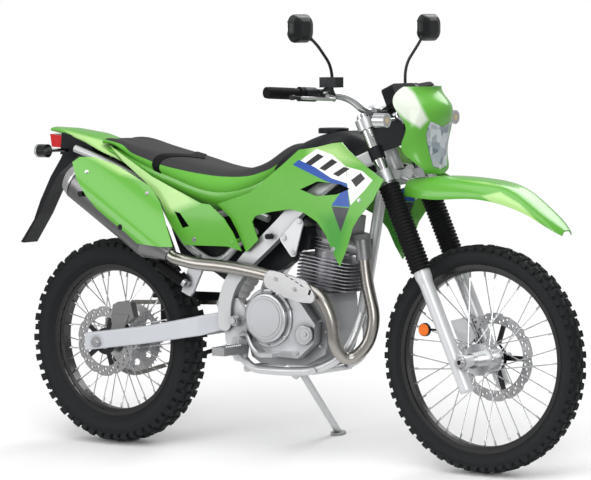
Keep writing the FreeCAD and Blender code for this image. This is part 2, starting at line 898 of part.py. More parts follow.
def chain_loop_face(rear_center, front_center, rear_radius, front_radius, y):
    # The outline of a chain round two toothed wheels, with a corner at each pin
    span = front_center - rear_center
    slope = math.atan2(span.z, span.x)
    spread = math.asin((rear_radius - front_radius) / span.Length)
    top_turn = slope + math.pi / 2 - spread
    low_turn = slope - math.pi / 2 + spread

    def wrapped(center, radius, start_turn, end_turn, teeth):
        count = round(abs(end_turn - start_turn) / (2 * math.pi / teeth))
        reach = radius / math.cos((end_turn - start_turn) / count / 2)
        turns = [start_turn + (end_turn - start_turn) * (index + 0.5) / count for index in range(count)]
        middles = [Vec(center.x + reach * math.cos(turn), y,
                       center.z + reach * math.sin(turn)) for turn in turns]
        first = Vec(center.x + radius * math.cos(start_turn), y, center.z + radius * math.sin(start_turn))
        last = Vec(center.x + radius * math.cos(end_turn), y, center.z + radius * math.sin(end_turn))
        return [first] + middles + [last]

    front = wrapped(front_center, front_radius, top_turn, low_turn, drive_teeth)
    rear = wrapped(rear_center, rear_radius, low_turn, top_turn - 2 * math.pi, sprocket_teeth)
    return Part.Face(polygon_wire(front + rear)), (rear[-1], front[0]), (rear[0], front[-1])


drive_center = Vec(pivot_x + 68.0, 0, pivot_z + 7.0)


def drive_chain():
    # Two side bands, joined by rollers along the straight runs only, so that the
    # toothed wheel turns freely between them
    rear_pitch = pitch_radius(sprocket_teeth)
    front_pitch = pitch_radius(drive_teeth)
    rear_center = Vec(rear_axle.x, 0, rear_axle.z)
    bands = []
    half = chain_band_height / 2
    for side in (-1, 1):
        y = chain_line_y + side * (chain_inner_gap / 2 + (chain_band_wall if side < 0 else 0))
        outer, _, _ = chain_loop_face(rear_center, drive_center, rear_pitch + half, front_pitch + half, y)
        inner, _, _ = chain_loop_face(rear_center, drive_center, rear_pitch - half, front_pitch - half, y)
        band = outer.extrude(across * chain_band_wall).cut(inner.extrude(across * chain_band_wall))
        bands.append(single(band))
    _, top_run, low_run = chain_loop_face(rear_center, drive_center, rear_pitch, front_pitch, 0)
    low_y = chain_line_y - chain_inner_gap / 2 - chain_band_wall / 2
    high_y = chain_line_y + chain_inner_gap / 2 + chain_band_wall / 2
    rollers = []
    for start, end in (top_run, low_run):
        run = end - start
        count = int(run.Length / chain_pitch / 4)
        for index in range(2, count - 1):
            spot = start + run * (index / count)
            rollers.append(six_sided_rod(Vec(spot.x, low_y, spot.z), Vec(spot.x, high_y, spot.z),
                                         roller_radius))
    return joined(bands[0], bands[1:] + rollers)


def arm_stations():
    outer = arm_outer_y - arm_width / 2
    rise = pivot_z - rear_axle.z
    return (
        (-arm_tail, outer, rear_axle.z, arm_rear_height),
        (arm_waist_x / 2, outer, rear_axle.z + rise * arm_rise_shares[0], arm_rear_height),
        (arm_waist_x, outer, rear_axle.z + rise * arm_rise_shares[1], arm_front_height),
        (pivot_x - arm_neck, arm_pivot_y, rear_axle.z + rise * arm_rise_shares[2],
         arm_front_height - arm_corner),
        (pivot_x, arm_pivot_y, pivot_z, pivot_radius * 2 - arm_corner),
    )


def arm_top(x):
    # Height of the swingarm's upper face at x
    stations = arm_stations()
    for first, second in zip(stations, stations[1:]):
        if first[0] <= x <= second[0]:
            share = (x - first[0]) / (second[0] - first[0])
            low = first[2] + first[3] / 2
            high = second[2] + second[3] / 2
            return low + (high - low) * share
    return pivot_z


def bridge_spot():
    return Vec(bridge_x, 0, rear_axle.z + (pivot_z - rear_axle.z) * arm_rise_shares[1])


def swingarm():
    arms = []
    for side in (-1, 1):
        wires = []
        for x, y, z, height in arm_stations():
            center = Vec(x, side * y, z)
            wires.append(rounded_rectangle(arm_width, height, arm_corner, center, across, upward))
        arms.append(ruled_body(wires))
    pivot_half = arm_pivot_y + arm_width / 2
    pivot_tube = disc_block((pivot_x, pivot_z), pivot_radius, -pivot_half, pivot_half)
    bridge_z = bridge_spot().z
    inner = arm_outer_y - arm_width / 2
    bridge = disc_block((bridge_x, bridge_z), bridge_radius, -inner, inner)
    whole = joined(pivot_tube, arms + [bridge])
    axle_hole = disc_block((rear_axle.x, rear_axle.z), axle_radius + running_gap,
                           -arm_outer_y - overrun, arm_outer_y + overrun)
    bolt_hole = disc_block((pivot_x, pivot_z), pivot_bolt_radius, -pivot_half, pivot_half)
    return single(whole.cut([axle_hole, bolt_hole]))


def rear_axle_bar():
    middle = (rear_axle.x, rear_axle.z)
    end_y = arm_outer_y + axle_end_length
    bar = disc_block(middle, axle_radius, -end_y, end_y)
    arm_inside = arm_outer_y - arm_width
    hub_end = rear_hub_end()
    pieces = []
    for side in (-1, 1):
        spacer = disc_block(middle, spacer_radius, side * (hub_end + seat_gap),
                            side * (arm_inside - seat_gap))
        nut = disc_block(middle, axle_nut_radius, side * (arm_outer_y + seat_gap),
                         side * (end_y - weld_depth))
        pieces += [spacer, nut]
    return joined(bar, pieces)


def rear_hub_end():
    return chain_line_y + sprocket_wall / 2 + panel_gap


def front_hub_end():
    return front_disc_y + disc_wall / 2 + panel_gap


head_middle = on_axis((head_tube_low + head_tube_high) / 2)
spar_shares = (
    (0.98, 1.00, 0.15),
    (0.77, 0.90, 0.68),
    (0.485, 0.68, 1.0),
    (0.28, 0.505, 1.0),
    (0.07, 0.346, 1.0),
    (-0.045, 0.217, 1.0),
    (-0.092, 0.10, 1.0),
    (-0.09, -0.02, 1.0),
)


def spar_points():
    span_x = head_middle.x - pivot_x
    span_z = head_middle.z - pivot_z
    return [Vec(pivot_x + span_x * a, spar_y * c, pivot_z + span_z * b) for a, b, c in spar_shares]


def frame_spar(grow):
    # A bent band round the engine down to the pivot plate, and a branch in to the steering head
    points = spar_points()
    flat = points[2:]
    path = route_wire([Vec(p.x, spar_y - spar_width / 2 - grow, p.z) for p in flat])
    face = path.makeOffset2D(spar_height / 2 + grow, 0, True, False, False)
    band = face.extrude(across * (spar_width + 2 * grow))
    wires = []
    for before, point, after in ((points[0], points[0], points[1]), (points[0], points[1], points[2]),
                                 (points[1], points[2], points[2])):
        way = after - before
        high_way = Vec(way.x, 0, way.z).cross(across).normalize()
        wires.append(rounded_rectangle(spar_width - panel_gap + 2 * grow,
                                       spar_height - panel_gap + 2 * grow,
                                       spar_corner, point, across, high_way))
    return joined(band, ruled_body(wires))


down_tube_shares = ((0.945, 0.76), (0.87, 0.40), (0.80, 0.07))
cradle_shares = (
    (0.80, 0.08, 0.0),
    (0.79, -0.06, 0.36),
    (0.72, -0.20, 0.62),
    (0.56, -0.275, 0.84),
    (0.34, -0.29, 0.92),
    (0.09, -0.285, 0.96),
    (0.0, -0.20, 1.0),
    (-0.025, -0.11, 1.0),
)
plate_shares = (
    (-0.11, 0.02),
    (-0.10, -0.13),
    (-0.03, -0.24),
    (0.05, -0.25),
    (0.075, -0.10),
    (0.055, 0.06),
    (0.0, 0.13),
    (-0.10, 0.13),
)


# Lean and stand geometry in the upright bike's axes
lean = math.radians(lean_angle)
ground_up = Vec(0, -math.sin(lean), math.cos(lean))
contact_drop = tread_flat / 2 * math.sin(lean)


def on_ground(x, y):
    return Vec(x, y, y * math.tan(lean) - contact_drop / math.cos(lean))


stand_pivot = Vec(pivot_x + stand_ahead, plate_y + stand_out, pivot_z - stand_drop)
stand_foot = on_ground(pivot_x + stand_ahead + foot_ahead, plate_y + stand_out + foot_out)
stand_down = Vec(stand_foot - stand_pivot).normalize()
stand_back = Vec(-1, stand_rise_share, stand_rise_share).normalize()
stand_way = stand_down.cross(stand_back).normalize()
stand_travel = math.degrees(stand_down.getAngle(stand_back))


def frame_spot(along, up, side_y):
    # Ahead of the pivot x follows the steering head, behind it the seat's own length
    span_x = head_middle.x - pivot_x if along > 0 else seat_run
    span_z = head_middle.z - pivot_z
    return Vec(pivot_x + span_x * along, side_y, pivot_z + span_z * up)


def stand_bracket():
    eye = stand_eye_half + 2 * seat_gap
    foot = frame_spot(*stand_root_shares, plate_y * stand_root_share_y)
    boss_end = stand_pivot - stand_way * (eye + stand_boss_length)
    pieces = [
        rod(boss_end, stand_pivot - stand_way * eye, stand_eye_radius),
        rod(boss_end, stand_pivot + stand_way * (eye + weld_depth), stand_pin_radius),
        rod(stand_pivot + stand_way * eye, stand_pivot + stand_way * (eye + weld_depth), stand_head_radius),
    ]
    web = rod(foot, stand_pivot - stand_way * (eye + stand_boss_length / 2), stand_web_radius)
    swing_room = rod(stand_pivot - stand_way * eye, stand_pivot + stand_way * eye,
                     stand_eye_radius + panel_gap)
    return pieces + [web.cut(swing_room)]


def side_stand():
    eye = rod(stand_pivot - stand_way * stand_eye_half, stand_pivot + stand_way * stand_eye_half,
              stand_eye_radius)
    ankle = stand_foot + ground_up * foot_height
    leg = rod(stand_pivot, ankle - stand_down * foot_height, stand_leg_radius)
    foot = rod(stand_foot, ankle, foot_radius)
    heel = rod(ankle - stand_down * foot_height, ankle, stand_leg_radius)
    whole = joined(leg, [eye, foot, heel])
    bore = rod(stand_pivot - stand_way * overrun, stand_pivot + stand_way * overrun,
               stand_pin_radius + running_gap)
    return single(whole.cut(bore))


def main_frame():
    head = rod(on_axis(head_tube_low), on_axis(head_tube_high), head_tube_radius)
    down_points = [on_axis(head_tube_low + 4 * down_tube_radius)]
    down_points += [frame_spot(a, b, 0) for a, b in down_tube_shares]
    cradle = tube([frame_spot(a, b, plate_y * c) for a, b, c in cradle_shares], cradle_radius)
    outline = [(p.x, p.z) for p in [frame_spot(a, b, 0) for a, b in plate_shares]]
    plate = slab(outline, plate_y - plate_wall / 2, plate_y + plate_wall / 2 + weld_depth)
    spar = frame_spar(0)
    ties = []
    for share_x, share_z in tie_shares:
        spot = frame_spot(share_x, share_z, 0)
        ties.append(disc_block((spot.x, spot.z), tie_radius, -plate_y, plate_y))
    pieces = [tube(down_points, down_tube_radius), spar, mirrored(spar), plate, mirrored(plate)]
    pieces += [cradle, mirrored(cradle)] + ties + stand_bracket()
    whole = joined(head, pieces)
    stem_hole = rod(on_axis(head_tube_low - overrun), on_axis(head_tube_high + overrun),
                    stem_radius + running_gap)
    pivot_hole = disc_block((pivot_x, pivot_z), pivot_bolt_radius, -spar_y - overrun, spar_y + overrun)
    return single(whole.cut([stem_hole, pivot_hole]))


def pivot_bolt():
    middle = (pivot_x, pivot_z)
    end_y = plate_y + plate_wall / 2 + weld_depth
    bolt = disc_block(middle, pivot_bolt_radius - running_gap, -end_y - bolt_head, end_y + bolt_head)
    heads = [disc_block(middle, pivot_bolt_radius + bolt_head, side * (end_y + seat_gap),
                        side * (end_y + bolt_head)) for side in (-1, 1)]
    return joined(bolt, heads)


def subframe():
    # Seat rails, lower stays and cross ties, bolted to the spars
    rail = tube([frame_spot(a, b, rail_y) for a, b in rail_shares], rail_radius)
    stay = tube([frame_spot(a, b, stay_y * c) for a, b, c in stay_shares], rail_radius)
    ties = []
    for share_x, share_z in rail_tie_shares:
        spot = frame_spot(share_x, share_z, 0)
        ties.append(disc_block((spot.x, spot.z), rail_radius - weld_depth, -rail_y, rail_y))
    return joined(rail, [mirrored(rail), stay, mirrored(stay)] + ties)


def crankcase():
    low = spots(case_shares, pivot_x, case_low_z, case_length, case_height)
    for x in (cylinder_x + barrel_radius, cylinder_x - barrel_radius - case_lip):
        low.append((x, cylinder_z - (x - cylinder_x) * math.tan(math.radians(cylinder_tilt)) - seat_gap))
    low += spots([case_rear_share], pivot_x, case_low_z, case_length, case_height)
    left = spots(case_left_shares, pivot_x, case_low_z, case_length, case_height)
    body = slab(low, -case_half_width, sprocket_side_y)
    side = slab(left, sprocket_side_y - weld_depth, case_half_width)
    return joined(body, side)


def rounded_cover(center, radius, y_from, y_to, edge):
    cover = disc_block(center, radius, y_from, y_to)
    outer = [e for e in cover.Edges if abs(e.CenterOfMass.y - y_to) < seat_gap and e.Closed]
    return cover.makeFillet(edge, outer)


def engine_covers():
    clutch = (clutch_x, clutch_z)
    right = rounded_cover(clutch, clutch_radius + clutch_step, -case_half_width - seat_gap,
                          -cover_seam_y, cover_edge)
    outline = spots(cover_shares, clutch_x - clutch_radius, clutch_z - clutch_radius, cover_span,
                    cover_rise)
    plate = slab(outline, -case_half_width - seat_gap, -cover_seam_y + cover_edge)
    face = rounded_cover(clutch, clutch_radius, -cover_seam_y + weld_depth, -clutch_cover_y, cover_edge)
    small = rounded_cover((small_cover_x, small_cover_z), small_cover_radius,
                          -case_half_width - seat_gap, -cover_seam_y - weld_depth, cover_edge / 2)
    filler = rounded_cover((clutch_x + clutch_radius, clutch_z + clutch_radius), filler_radius,
                           -case_half_width - seat_gap, -clutch_cover_y, cover_edge / 2)
    right_side = joined(right, [plate, face, small, filler])
    generator = rounded_cover((generator_x, generator_z), generator_radius,
                              case_half_width + seat_gap, generator_y, cover_edge)
    hood = rounded_cover((drive_center.x, drive_center.z), hood_radius, case_half_width + seat_gap,
                         generator_y - clutch_step, cover_edge)
    back = block((0, 0, 0), (pivot_x + hood_back, generator_y, pivot_z * 2))
    hood = single(hood.cut(back))
    return Part.makeCompound([right_side, joined(generator, hood)])


def drive_shaft():
    middle = (drive_center.x, drive_center.z)
    wheel_low = chain_line_y - sprocket_wall / 2
    wheel_high = chain_line_y + sprocket_wall / 2
    wheel = disc_block(middle, pitch_radius(drive_teeth) - chain_band_height / 2 - seat_gap, wheel_low,
                       wheel_high)
    shaft = disc_block(middle, spacer_radius, sprocket_side_y + seat_gap, wheel_high + weld_depth)
    half = chain_inner_gap / 2 + chain_band_wall
    collar = disc_block(middle, pitch_radius(drive_teeth) - chain_band_height / 2 - seat_gap,
                        chain_line_y - half, chain_line_y + half)
    return joined(wheel, [shaft, collar])


def tilted(shape):
    copy = shape.copy()
    copy.rotate(Vec(cylinder_x, 0, cylinder_z), across, cylinder_tilt)
    return copy


def fin_plate(center_x, z, length, width, wall):
    wire = rounded_rectangle(length, width, fin_corner, Vec(center_x, 0, z), ahead, across)
    return Part.Face(wire).extrude(upward * wall)


def cylinder():
    barrel = Part.makeCylinder(barrel_radius, cylinder_length, Vec(cylinder_x, 0, cylinder_z), upward)
    fins = []
    for index in range(fin_count):
        z = cylinder_z + fin_pitch * (index + 1)
        fins.append(fin_plate(cylinder_x + fin_shift, z, fin_length, fin_width, fin_wall))
    return tilted(joined(barrel, fins))


def inlet_mouth():
    high_z = cylinder_z + cylinder_length + seat_gap + head_height / 2 + inlet_length
    return Vec(cylinder_x + fin_shift - head_length / 2 - inlet_length, 0, high_z)


def cylinder_head():
    base_z = cylinder_z + cylinder_length + seat_gap
    core = fin_plate(cylinder_x + fin_shift, base_z, head_length - fin_corner, head_width - fin_corner,
                     head_height)
    fins = []
    for index in range(head_fin_count):
        z = base_z + fin_pitch * (index + 0.5)
        fins.append(fin_plate(cylinder_x + fin_shift, z, head_length, head_width, fin_wall))
    cam = fin_plate(cylinder_x + fin_shift, base_z + head_height, cam_cover_length, cam_cover_width,
                    cam_cover_height)
    port = rod(Vec(cylinder_x, port_y, base_z + head_height / 2),
               Vec(cylinder_x + fin_shift + head_length / 2 + port_reach, port_y, base_z + port_rise),
               header_radius + weld_depth)
    inlet = rod(Vec(cylinder_x, 0, base_z + head_height / 2), inlet_mouth(), inlet_radius)
    elbow = rod(port_end() - header_drop() * port_elbow, port_end() + header_drop() * port_elbow,
                header_radius + elbow_wall)
    return joined(tilted(joined(core, fins + [cam, port, inlet])), [elbow])


def airbox():
    # Rests on the frame's upper tie and meets the inlet with a short neck
    low_z = frame_spot(tie_shares[0][0], tie_shares[0][1], 0).z + tie_radius + seat_gap
    outline = spots(airbox_shares, airbox_x, low_z, airbox_length, airbox_height)
    box = slab(outline, -airbox_half_width, airbox_half_width)
    root = Vec(airbox_x + airbox_length - inlet_length, 0, low_z + airbox_height / 2)
    mouth = leaned_point(inlet_mouth())
    way = Vec(mouth - leaned_point(Vec(cylinder_x, 0, inlet_mouth().z - inlet_length))).normalize()
    neck = rod(mouth + way * seat_gap, mouth + way * inlet_length, inlet_radius)
    bend = rod(mouth + way * inlet_radius, root, inlet_radius - weld_depth)
    return joined(box, [neck, bend])


def port_end():
    base_z = cylinder_z + cylinder_length + seat_gap
    point = Vec(cylinder_x + fin_shift + head_length / 2 + port_reach + seat_gap, port_y,
                base_z + port_rise)
    return leaned_point(point)


def leaned_point(point):
    turn = FreeCAD.Rotation(across, cylinder_tilt)
    pivot = Vec(cylinder_x, 0, cylinder_z)
    return pivot + turn.multVec(point - pivot)


def header_first():
    ahead_share, y_share, up_share = header_shares[0]
    return Vec(pivot_x + header_span * ahead_share, -y_share * header_y, pivot_z + header_rise * up_share)


def header_drop():
    return Vec(header_first() - port_end()).normalize()


def header_points():
    # Out of the head, down in front of the engine and back above the clutch cover
    start = port_end() + header_drop() * (port_elbow + seat_gap)
    points = [start]
    for ahead_share, y, up_share in header_shares:
        points.append(Vec(pivot_x + header_span * ahead_share, -y * header_y,
                          pivot_z + header_rise * up_share))
    points.append(Vec(silencer_x, -silencer_y, silencer_z) - silencer_way * header_radius)
    points.append(Vec(silencer_x, -silencer_y, silencer_z) - silencer_way * seat_gap)
    return points


def exhaust_header():
    return tube(header_points(), header_radius)


silencer_turn = math.radians(silencer_slope)
silencer_way = Vec(-math.cos(silencer_turn), 0, math.sin(silencer_turn))
silencer_over = Vec(math.sin(silencer_turn), 0, math.cos(silencer_turn))


def header_shield():
    outline = spots(shield_shares, shield_x, shield_z, shield_length, shield_height)
    wall_y = header_y + header_radius + shield_gap
    plate = slab(outline, -wall_y - guard_wall, -wall_y)
    clips = []
    for along, up in shield_clip_shares:
        x = shield_x + shield_length * along
        z = shield_z + shield_height * up
        clips.append(rod(Vec(x, -wall_y - weld_depth / 2, z), Vec(x, -header_y, z), shield_gap))
    return single(joined(plate, clips).cut(tube(header_points(), header_radius + seat_gap)))


def silencer():
    tip = silencer_cone + silencer_length
    profile = [
        (0, 0),
        (0, header_radius + weld_depth),
        (silencer_cone, silencer_radius),
        (tip - silencer_cap, silencer_radius),
        (tip - silencer_cap / 3, silencer_radius * 0.90),
        (tip, silencer_radius * 0.66),
        (tip, outlet_radius + weld_depth),
        (tip + weld_depth * 2, outlet_radius + weld_depth),
        (tip + weld_depth * 2, outlet_radius),
        (tip + weld_depth * 2 - outlet_depth, outlet_radius),
        (tip + weld_depth * 2 - outlet_depth, 0),
    ]
    body = revolved(profile, Vec(silencer_x, -silencer_y, silencer_z), silencer_way)
    return body


def curved_strip(shares, half_y, height, wall, base, high_way, run):
    # A bent skin: its cross profile holds (share of half_y, share of height), drawn out along run
    outer = [base + high_way * (height * up) - across * (half_y * out) for out, up in shares]
    inner = [point + across * wall for point in outer]
    curve_out = Part.BSplineCurve()
    curve_out.interpolate(Points=outer)
    curve_in = Part.BSplineCurve()
    curve_in.interpolate(Points=inner)
    edges = [
        curve_out.toShape(),
        Part.LineSegment(outer[-1], inner[-1]).toShape(),
        curve_in.toShape(),
        Part.LineSegment(inner[0], outer[0]).toShape(),
    ]
    face = Part.Face(Part.Wire(Part.__sortEdges__(edges)))
    return face.extrude(run)


def silencer_guard():
    base = Vec(silencer_x, 0, silencer_z) - silencer_way * overrun * 2
    skin = curved_strip(guard_profile_shares, silencer_y + silencer_radius, silencer_radius * 2, guard_wall,
                        base - silencer_over * silencer_radius / 4, silencer_over,
                        silencer_way * (silencer_length + silencer_cone + overrun * 3))
    outline = spots(guard_shares, guard_x, guard_z, guard_length, guard_height)
    guard = skin.common(slab(outline, -silencer_y - silencer_radius - overrun, 0))
    posts = []
    for along in (0.22, 0.72):
        center = Vec(silencer_x, -silencer_y, silencer_z) + silencer_way * (silencer_cone + silencer_length * along)
        posts.append(rod(center - across * (silencer_radius + seat_gap),
                         center - across * (silencer_radius + guard_standoff * 1.3), post_radius))
    return joined(guard, posts)


def rounded_section(points):
    # Two mirrored splines that meet level, at the lowest point and at the highest one
    top = next(index for index, point in enumerate(points) if index and abs(point.y) < seat_gap)
    edges = []
    for half, way in ((points[:top + 1], across), (points[top:] + points[:1], -across)):
        curve = Part.BSplineCurve()
        curve.interpolate(Points=half, InitialTangent=way, FinalTangent=-way)
        edges.append(curve.toShape())
    return Part.Wire(edges)


def shaped_body(rows, start_x, length, low_z, height, half_width, shape_shares, grow=0.0, flat=False):
    # Loft of closed sections; each row holds share along, of half width, and the low and top edges
    wires = []
    for along, wide, low, top in rows:
        x = start_x + length * along
        z_low = low_z + height * low - grow
        z_top = low_z + height * top + grow
        wide_y = half_width * wide + grow
        points = [Vec(x, wide_y * a, z_low + (z_top - z_low) * b) for a, b in shape_shares]
        if flat:
            wires.append(polygon_wire(points))
            continue
        wires.append(rounded_section(points))
    return ruled_body(wires) if flat else smooth_body(wires)


def seat_solid(grow=0.0):
    return shaped_body(seat_rows, 0, seat_length, seat_low_z, seat_height, seat_half_width,
                       cushion_shares, grow)


def fuel_tank():
    body = shaped_body(tank_rows, tank_rear_x, tank_length, tank_low_z, tank_height, tank_half_width,
                       tank_shares)
    spar = frame_spar(seat_gap * 2)
    body = body.cut(seat_solid(panel_gap / 2))
    return max(body.cut([spar, mirrored(spar)]).Solids, key=lambda solid: solid.Volume)


def fuel_cap():
    top_z = tank_low_z + tank_height
    cap = Part.makeCylinder(cap_radius, cap_height, Vec(cap_x, 0, top_z - cap_height / 2), upward)
    rim_edges = [e for e in cap.Edges if e.Closed and abs(e.CenterOfMass.z - top_z - cap_height / 2) < seat_gap]
    cap = cap.makeFillet(cap_height / 4, rim_edges)
    cap = max(cap.cut(fuel_tank()).Solids, key=lambda solid: solid.CenterOfMass.z)
    cap.translate(upward * seat_gap)
    return cap


def shroud():
    outline = spots(shroud_shares, shroud_x, shroud_z, shroud_length, shroud_height)
    start_x = shroud_x - overrun
    base = Vec(start_x, shroud_flare * (shroud_flare_x - start_x), shroud_z)
    run = Vec(shroud_length + 2 * overrun, -shroud_flare * (shroud_length + 2 * overrun), 0)
    skin = curved_strip(shroud_profile_shares, shroud_y, shroud_height, panel_wall, base, upward, run)
    plate = skin.common(slab(outline, -shroud_y * 2, 0))
    slot = slab(spots(slot_shares, shroud_x, shroud_z, shroud_length, shroud_height), -shroud_y * 2, 0)
    plate = max(plate.cut(slot).Solids, key=lambda solid: solid.Volume)
    spot = spar_points()[3]
    skin_y = shroud_y + shroud_flare * (spot.x - shroud_flare_x) - panel_wall / 2
    post = rod(Vec(spot.x, -spar_y - spar_width / 2 - seat_gap, spot.z), Vec(spot.x, -skin_y, spot.z),
               post_radius)
    return joined(plate, [post])


def side_cover():
    outline = spots(side_shares, cover_x, cover_z, cover_length, cover_height)
    base = Vec(cover_x - overrun, 0, cover_z)
    run = Vec(cover_length + 2 * overrun, 0, 0)
    skin = curved_strip(side_profile_shares, side_y, cover_height, panel_wall, base, upward, run)
    plate = skin.common(slab(outline, -side_y * 2, 0))
    slot = slab(spots(side_slot_shares, cover_x, cover_z, cover_length, cover_height), -side_y * 2, 0)
    plate = max(plate.cut(slot).Solids, key=lambda solid: solid.Volume)
    spot = frame_spot(stay_shares[1][0], stay_shares[1][1], 0)
    post = rod(Vec(spot.x, -stay_y - rail_radius - seat_gap, spot.z),
               Vec(spot.x, -side_y * side_profile_shares[3][0] + panel_wall / 2, spot.z), post_radius)
    return joined(plate, [post])


def tail_body(grow=0.0):
    return shaped_body(tail_rows, tail_x, tail_length, tail_low_z, tail_height, tail_half_width,
                       tail_shares, grow, True)


def rear_fender():
    # Two posts stand on the rearmost tie of the seat rails
    tie = frame_spot(rail_tie_shares[2][0], rail_tie_shares[2][1], 0)
    posts = []
    for side in (-1, 1):
        foot = tie + Vec(0, side * tail_half_width / 2, rail_radius - weld_depth + seat_gap)
        posts.append(rod(foot, foot + upward * overrun, post_radius))
    whole = joined(tail_body(), posts).cut(seat_solid(seat_gap))
    return max(whole.Solids, key=lambda solid: solid.Volume)


def tail_lamp():
    outline = spots(lamp_shares, tail_lamp_x, tail_lamp_z, tail_lamp_length, tail_lamp_height)
    lamp = slab(outline, -tail_lamp_half, tail_lamp_half)
    return lamp


def plate_hanger():
    # Mudguard under the tail, flap behind the wheel and the flat plate holder on it
    arch = slab(spots(arch_shares, tail_x, tail_low_z, tail_length, tail_height), -arch_half, arch_half)
    flap = slab(spots(flap_shares, tail_x, tail_low_z, tail_length, tail_height), -flap_half, flap_half)
    holder = slab(spots(holder_shares, tail_x, tail_low_z, tail_length, tail_height), -holder_half,
                  holder_half)
    light = slab(spots(light_shares, tail_x, tail_low_z, tail_length, tail_height), -flap_half, flap_half)
    whole = joined(arch, [flap, holder, light])
    lamp_room = block((tail_lamp_x - overrun, -tail_lamp_half - seat_gap, tail_lamp_z - seat_gap),
                      (tail_lamp_x + tail_lamp_length + seat_gap, tail_lamp_half + seat_gap,
                       tail_lamp_z + tail_lamp_height * 2))
    whole = whole.cut(lamp_room).cut(tail_body(seat_gap))
    return max(whole.Solids, key=lambda solid: solid.Volume)


def signal(root, head, face_way):
    stalk = rod(root, head, signal_stalk_radius)
    shell = rod(head - face_way * signal_back, head + face_way * (signal_depth - signal_back),
                signal_radius)
    return joined(shell, [stalk])


def rear_signals():
    root = Vec(signal_rear_x, -arch_half - seat_gap, signal_rear_z)
    head = Vec(signal_rear_x, -signal_rear_y, signal_rear_z)
    return both_sides(signal(root, head, -ahead))


def rear_caliper():
    center = Vec(caliper_x, 0, caliper_z)
    body = slab(spots(caliper_shares, center.x, center.z, caliper_length, caliper_height),
                -rear_disc_y - caliper_half, -rear_disc_y + caliper_half)
    slot = disc_block((rear_axle.x, rear_axle.z), rear_disc_radius + panel_gap,
                      -rear_disc_y - disc_wall / 2 - caliper_slot, -rear_disc_y + disc_wall / 2 + caliper_slot)
    arm_inside = arm_outer_y - arm_width
    plate = spots(caliper_plate_shares, center.x, center.z, caliper_length, caliper_height)
    carrier = slab(plate, -arm_inside + seat_gap, -rear_disc_y - caliper_half + weld_depth)
    return single(joined(body, carrier).cut(slot))


def foot_controls():
    # Brake pedal on the right, gear lever on the left, each with its pivot boss
    pedal = tube([Vec(*point) for point in pedal_route], lever_radius)
    pad = block(pad_low, pad_high)
    lever = tube([Vec(*point) for point in gear_route], lever_radius)
    toe = rod(Vec(*gear_route[-1]), Vec(*gear_route[-1]) + across * toe_length, lever_radius + panel_gap)
    boss = rod(Vec(*pedal_route[0]), Vec(pedal_route[0][0], -plate_y - plate_wall - seat_gap,
                                         pedal_route[0][2]),
               lever_radius + weld_depth)
    hub = rod(Vec(*gear_route[0]), Vec(gear_route[0][0], sprocket_side_y + seat_gap, gear_route[0][2]),
              lever_radius + weld_depth)
    return Part.makeCompound([joined(pedal, [pad, boss]), joined(lever, [toe, hub])])


def footpegs():
    low_y = plate_y + cradle_radius + seat_gap
    hanger = block((peg_x - peg_width / 2, -low_y - peg_root, peg_z - peg_height / 2),
                   (peg_x + peg_width / 2, -low_y, peg_z + peg_height / 2))
    tread = block((peg_x - peg_width / 2, -low_y - peg_root - peg_length, peg_z - peg_height / 2),
                  (peg_x + peg_width / 2, -low_y - peg_root, peg_z + peg_height / 2))
    pocket = block((peg_x - peg_width / 2 + weld_depth, -low_y - peg_root - peg_length + weld_depth,
                    peg_z - peg_height), (peg_x + peg_width / 2 - weld_depth,
                                          -low_y - peg_root - weld_depth,
                                          peg_z + peg_height))
    bar = block((peg_x - weld_depth, -low_y - peg_root - peg_length, peg_z - peg_height / 2),
                (peg_x + weld_depth, -low_y - peg_root, peg_z + peg_height / 2 - seat_gap))
    peg = joined(single(tread.cut(pocket)), [hanger, bar])
    return both_sides(peg)


def passenger_pegs():
    stay_spot = frame_spot(stay_shares[1][0], stay_shares[1][1], 0)
    outline = spots(peg_plate_shares, peg_plate_x, peg_plate_z, peg_plate_length, peg_plate_height)
    wall_y = stay_y + rail_radius + seat_gap
    plate = slab(outline, -wall_y - plate_wall, -wall_y)
    start = Vec(peg_plate_x + peg_plate_length * 0.55, -wall_y - plate_wall - rear_peg_radius,
                peg_plate_z + peg_plate_height * 0.3)
    end = start + silencer_way * rear_peg_length - across * rear_peg_radius
    return both_sides(joined(plate, [rod(start, end, rear_peg_radius),
                                     rod(start + across * rear_peg_radius * 2, start,
                                         rear_peg_radius - weld_depth)]))


def shock_absorber():
    # From the swingarm's bridge up to the frame's upper tie
    tie = frame_spot(tie_shares[0][0], tie_shares[0][1], 0)
    way = Vec(tie - bridge_spot()).normalize()
    low = bridge_spot() + way * (bridge_radius + seat_gap)
    length = (tie - low).Length - tie_radius - seat_gap
    profile = [(0, 0), (0, shock_eye), (shock_eye * 2, shock_eye)]
    coil = (length - shock_eye * 4) / shock_coils
    for index in range(shock_coils):
        start = shock_eye * 2 + coil * index
        profile += [(start, shock_radius - shock_groove), (start + coil * 0.3, shock_radius),
                    (start + coil * 0.7, shock_radius), (start + coil, shock_radius - shock_groove)]
    profile += [(length - shock_eye * 2, shock_eye), (length, shock_eye), (length, 0)]
    return revolved(profile, low, way)


def chain_guard():
    # Cover strip over the upper chain run, held on the swingarm
    outline = spots(chain_guard_shares, chain_guard_x, chain_guard_z, chain_guard_length,
                    chain_guard_height)
    low_y = arm_outer_y - arm_width + weld_depth
    plate = slab(outline, low_y, low_y + panel_gap)
    feet = []
    for along in chain_guard_feet_shares:
        x = chain_guard_x + chain_guard_length * along
        low_z = max(arm_top(x), arm_top(x + arm_width)) + seat_gap
        feet.append(block((x, low_y, low_z),
                          (x + arm_width, low_y + panel_gap, chain_guard_z + chain_guard_height / 2)))
    return joined(plate, feet)


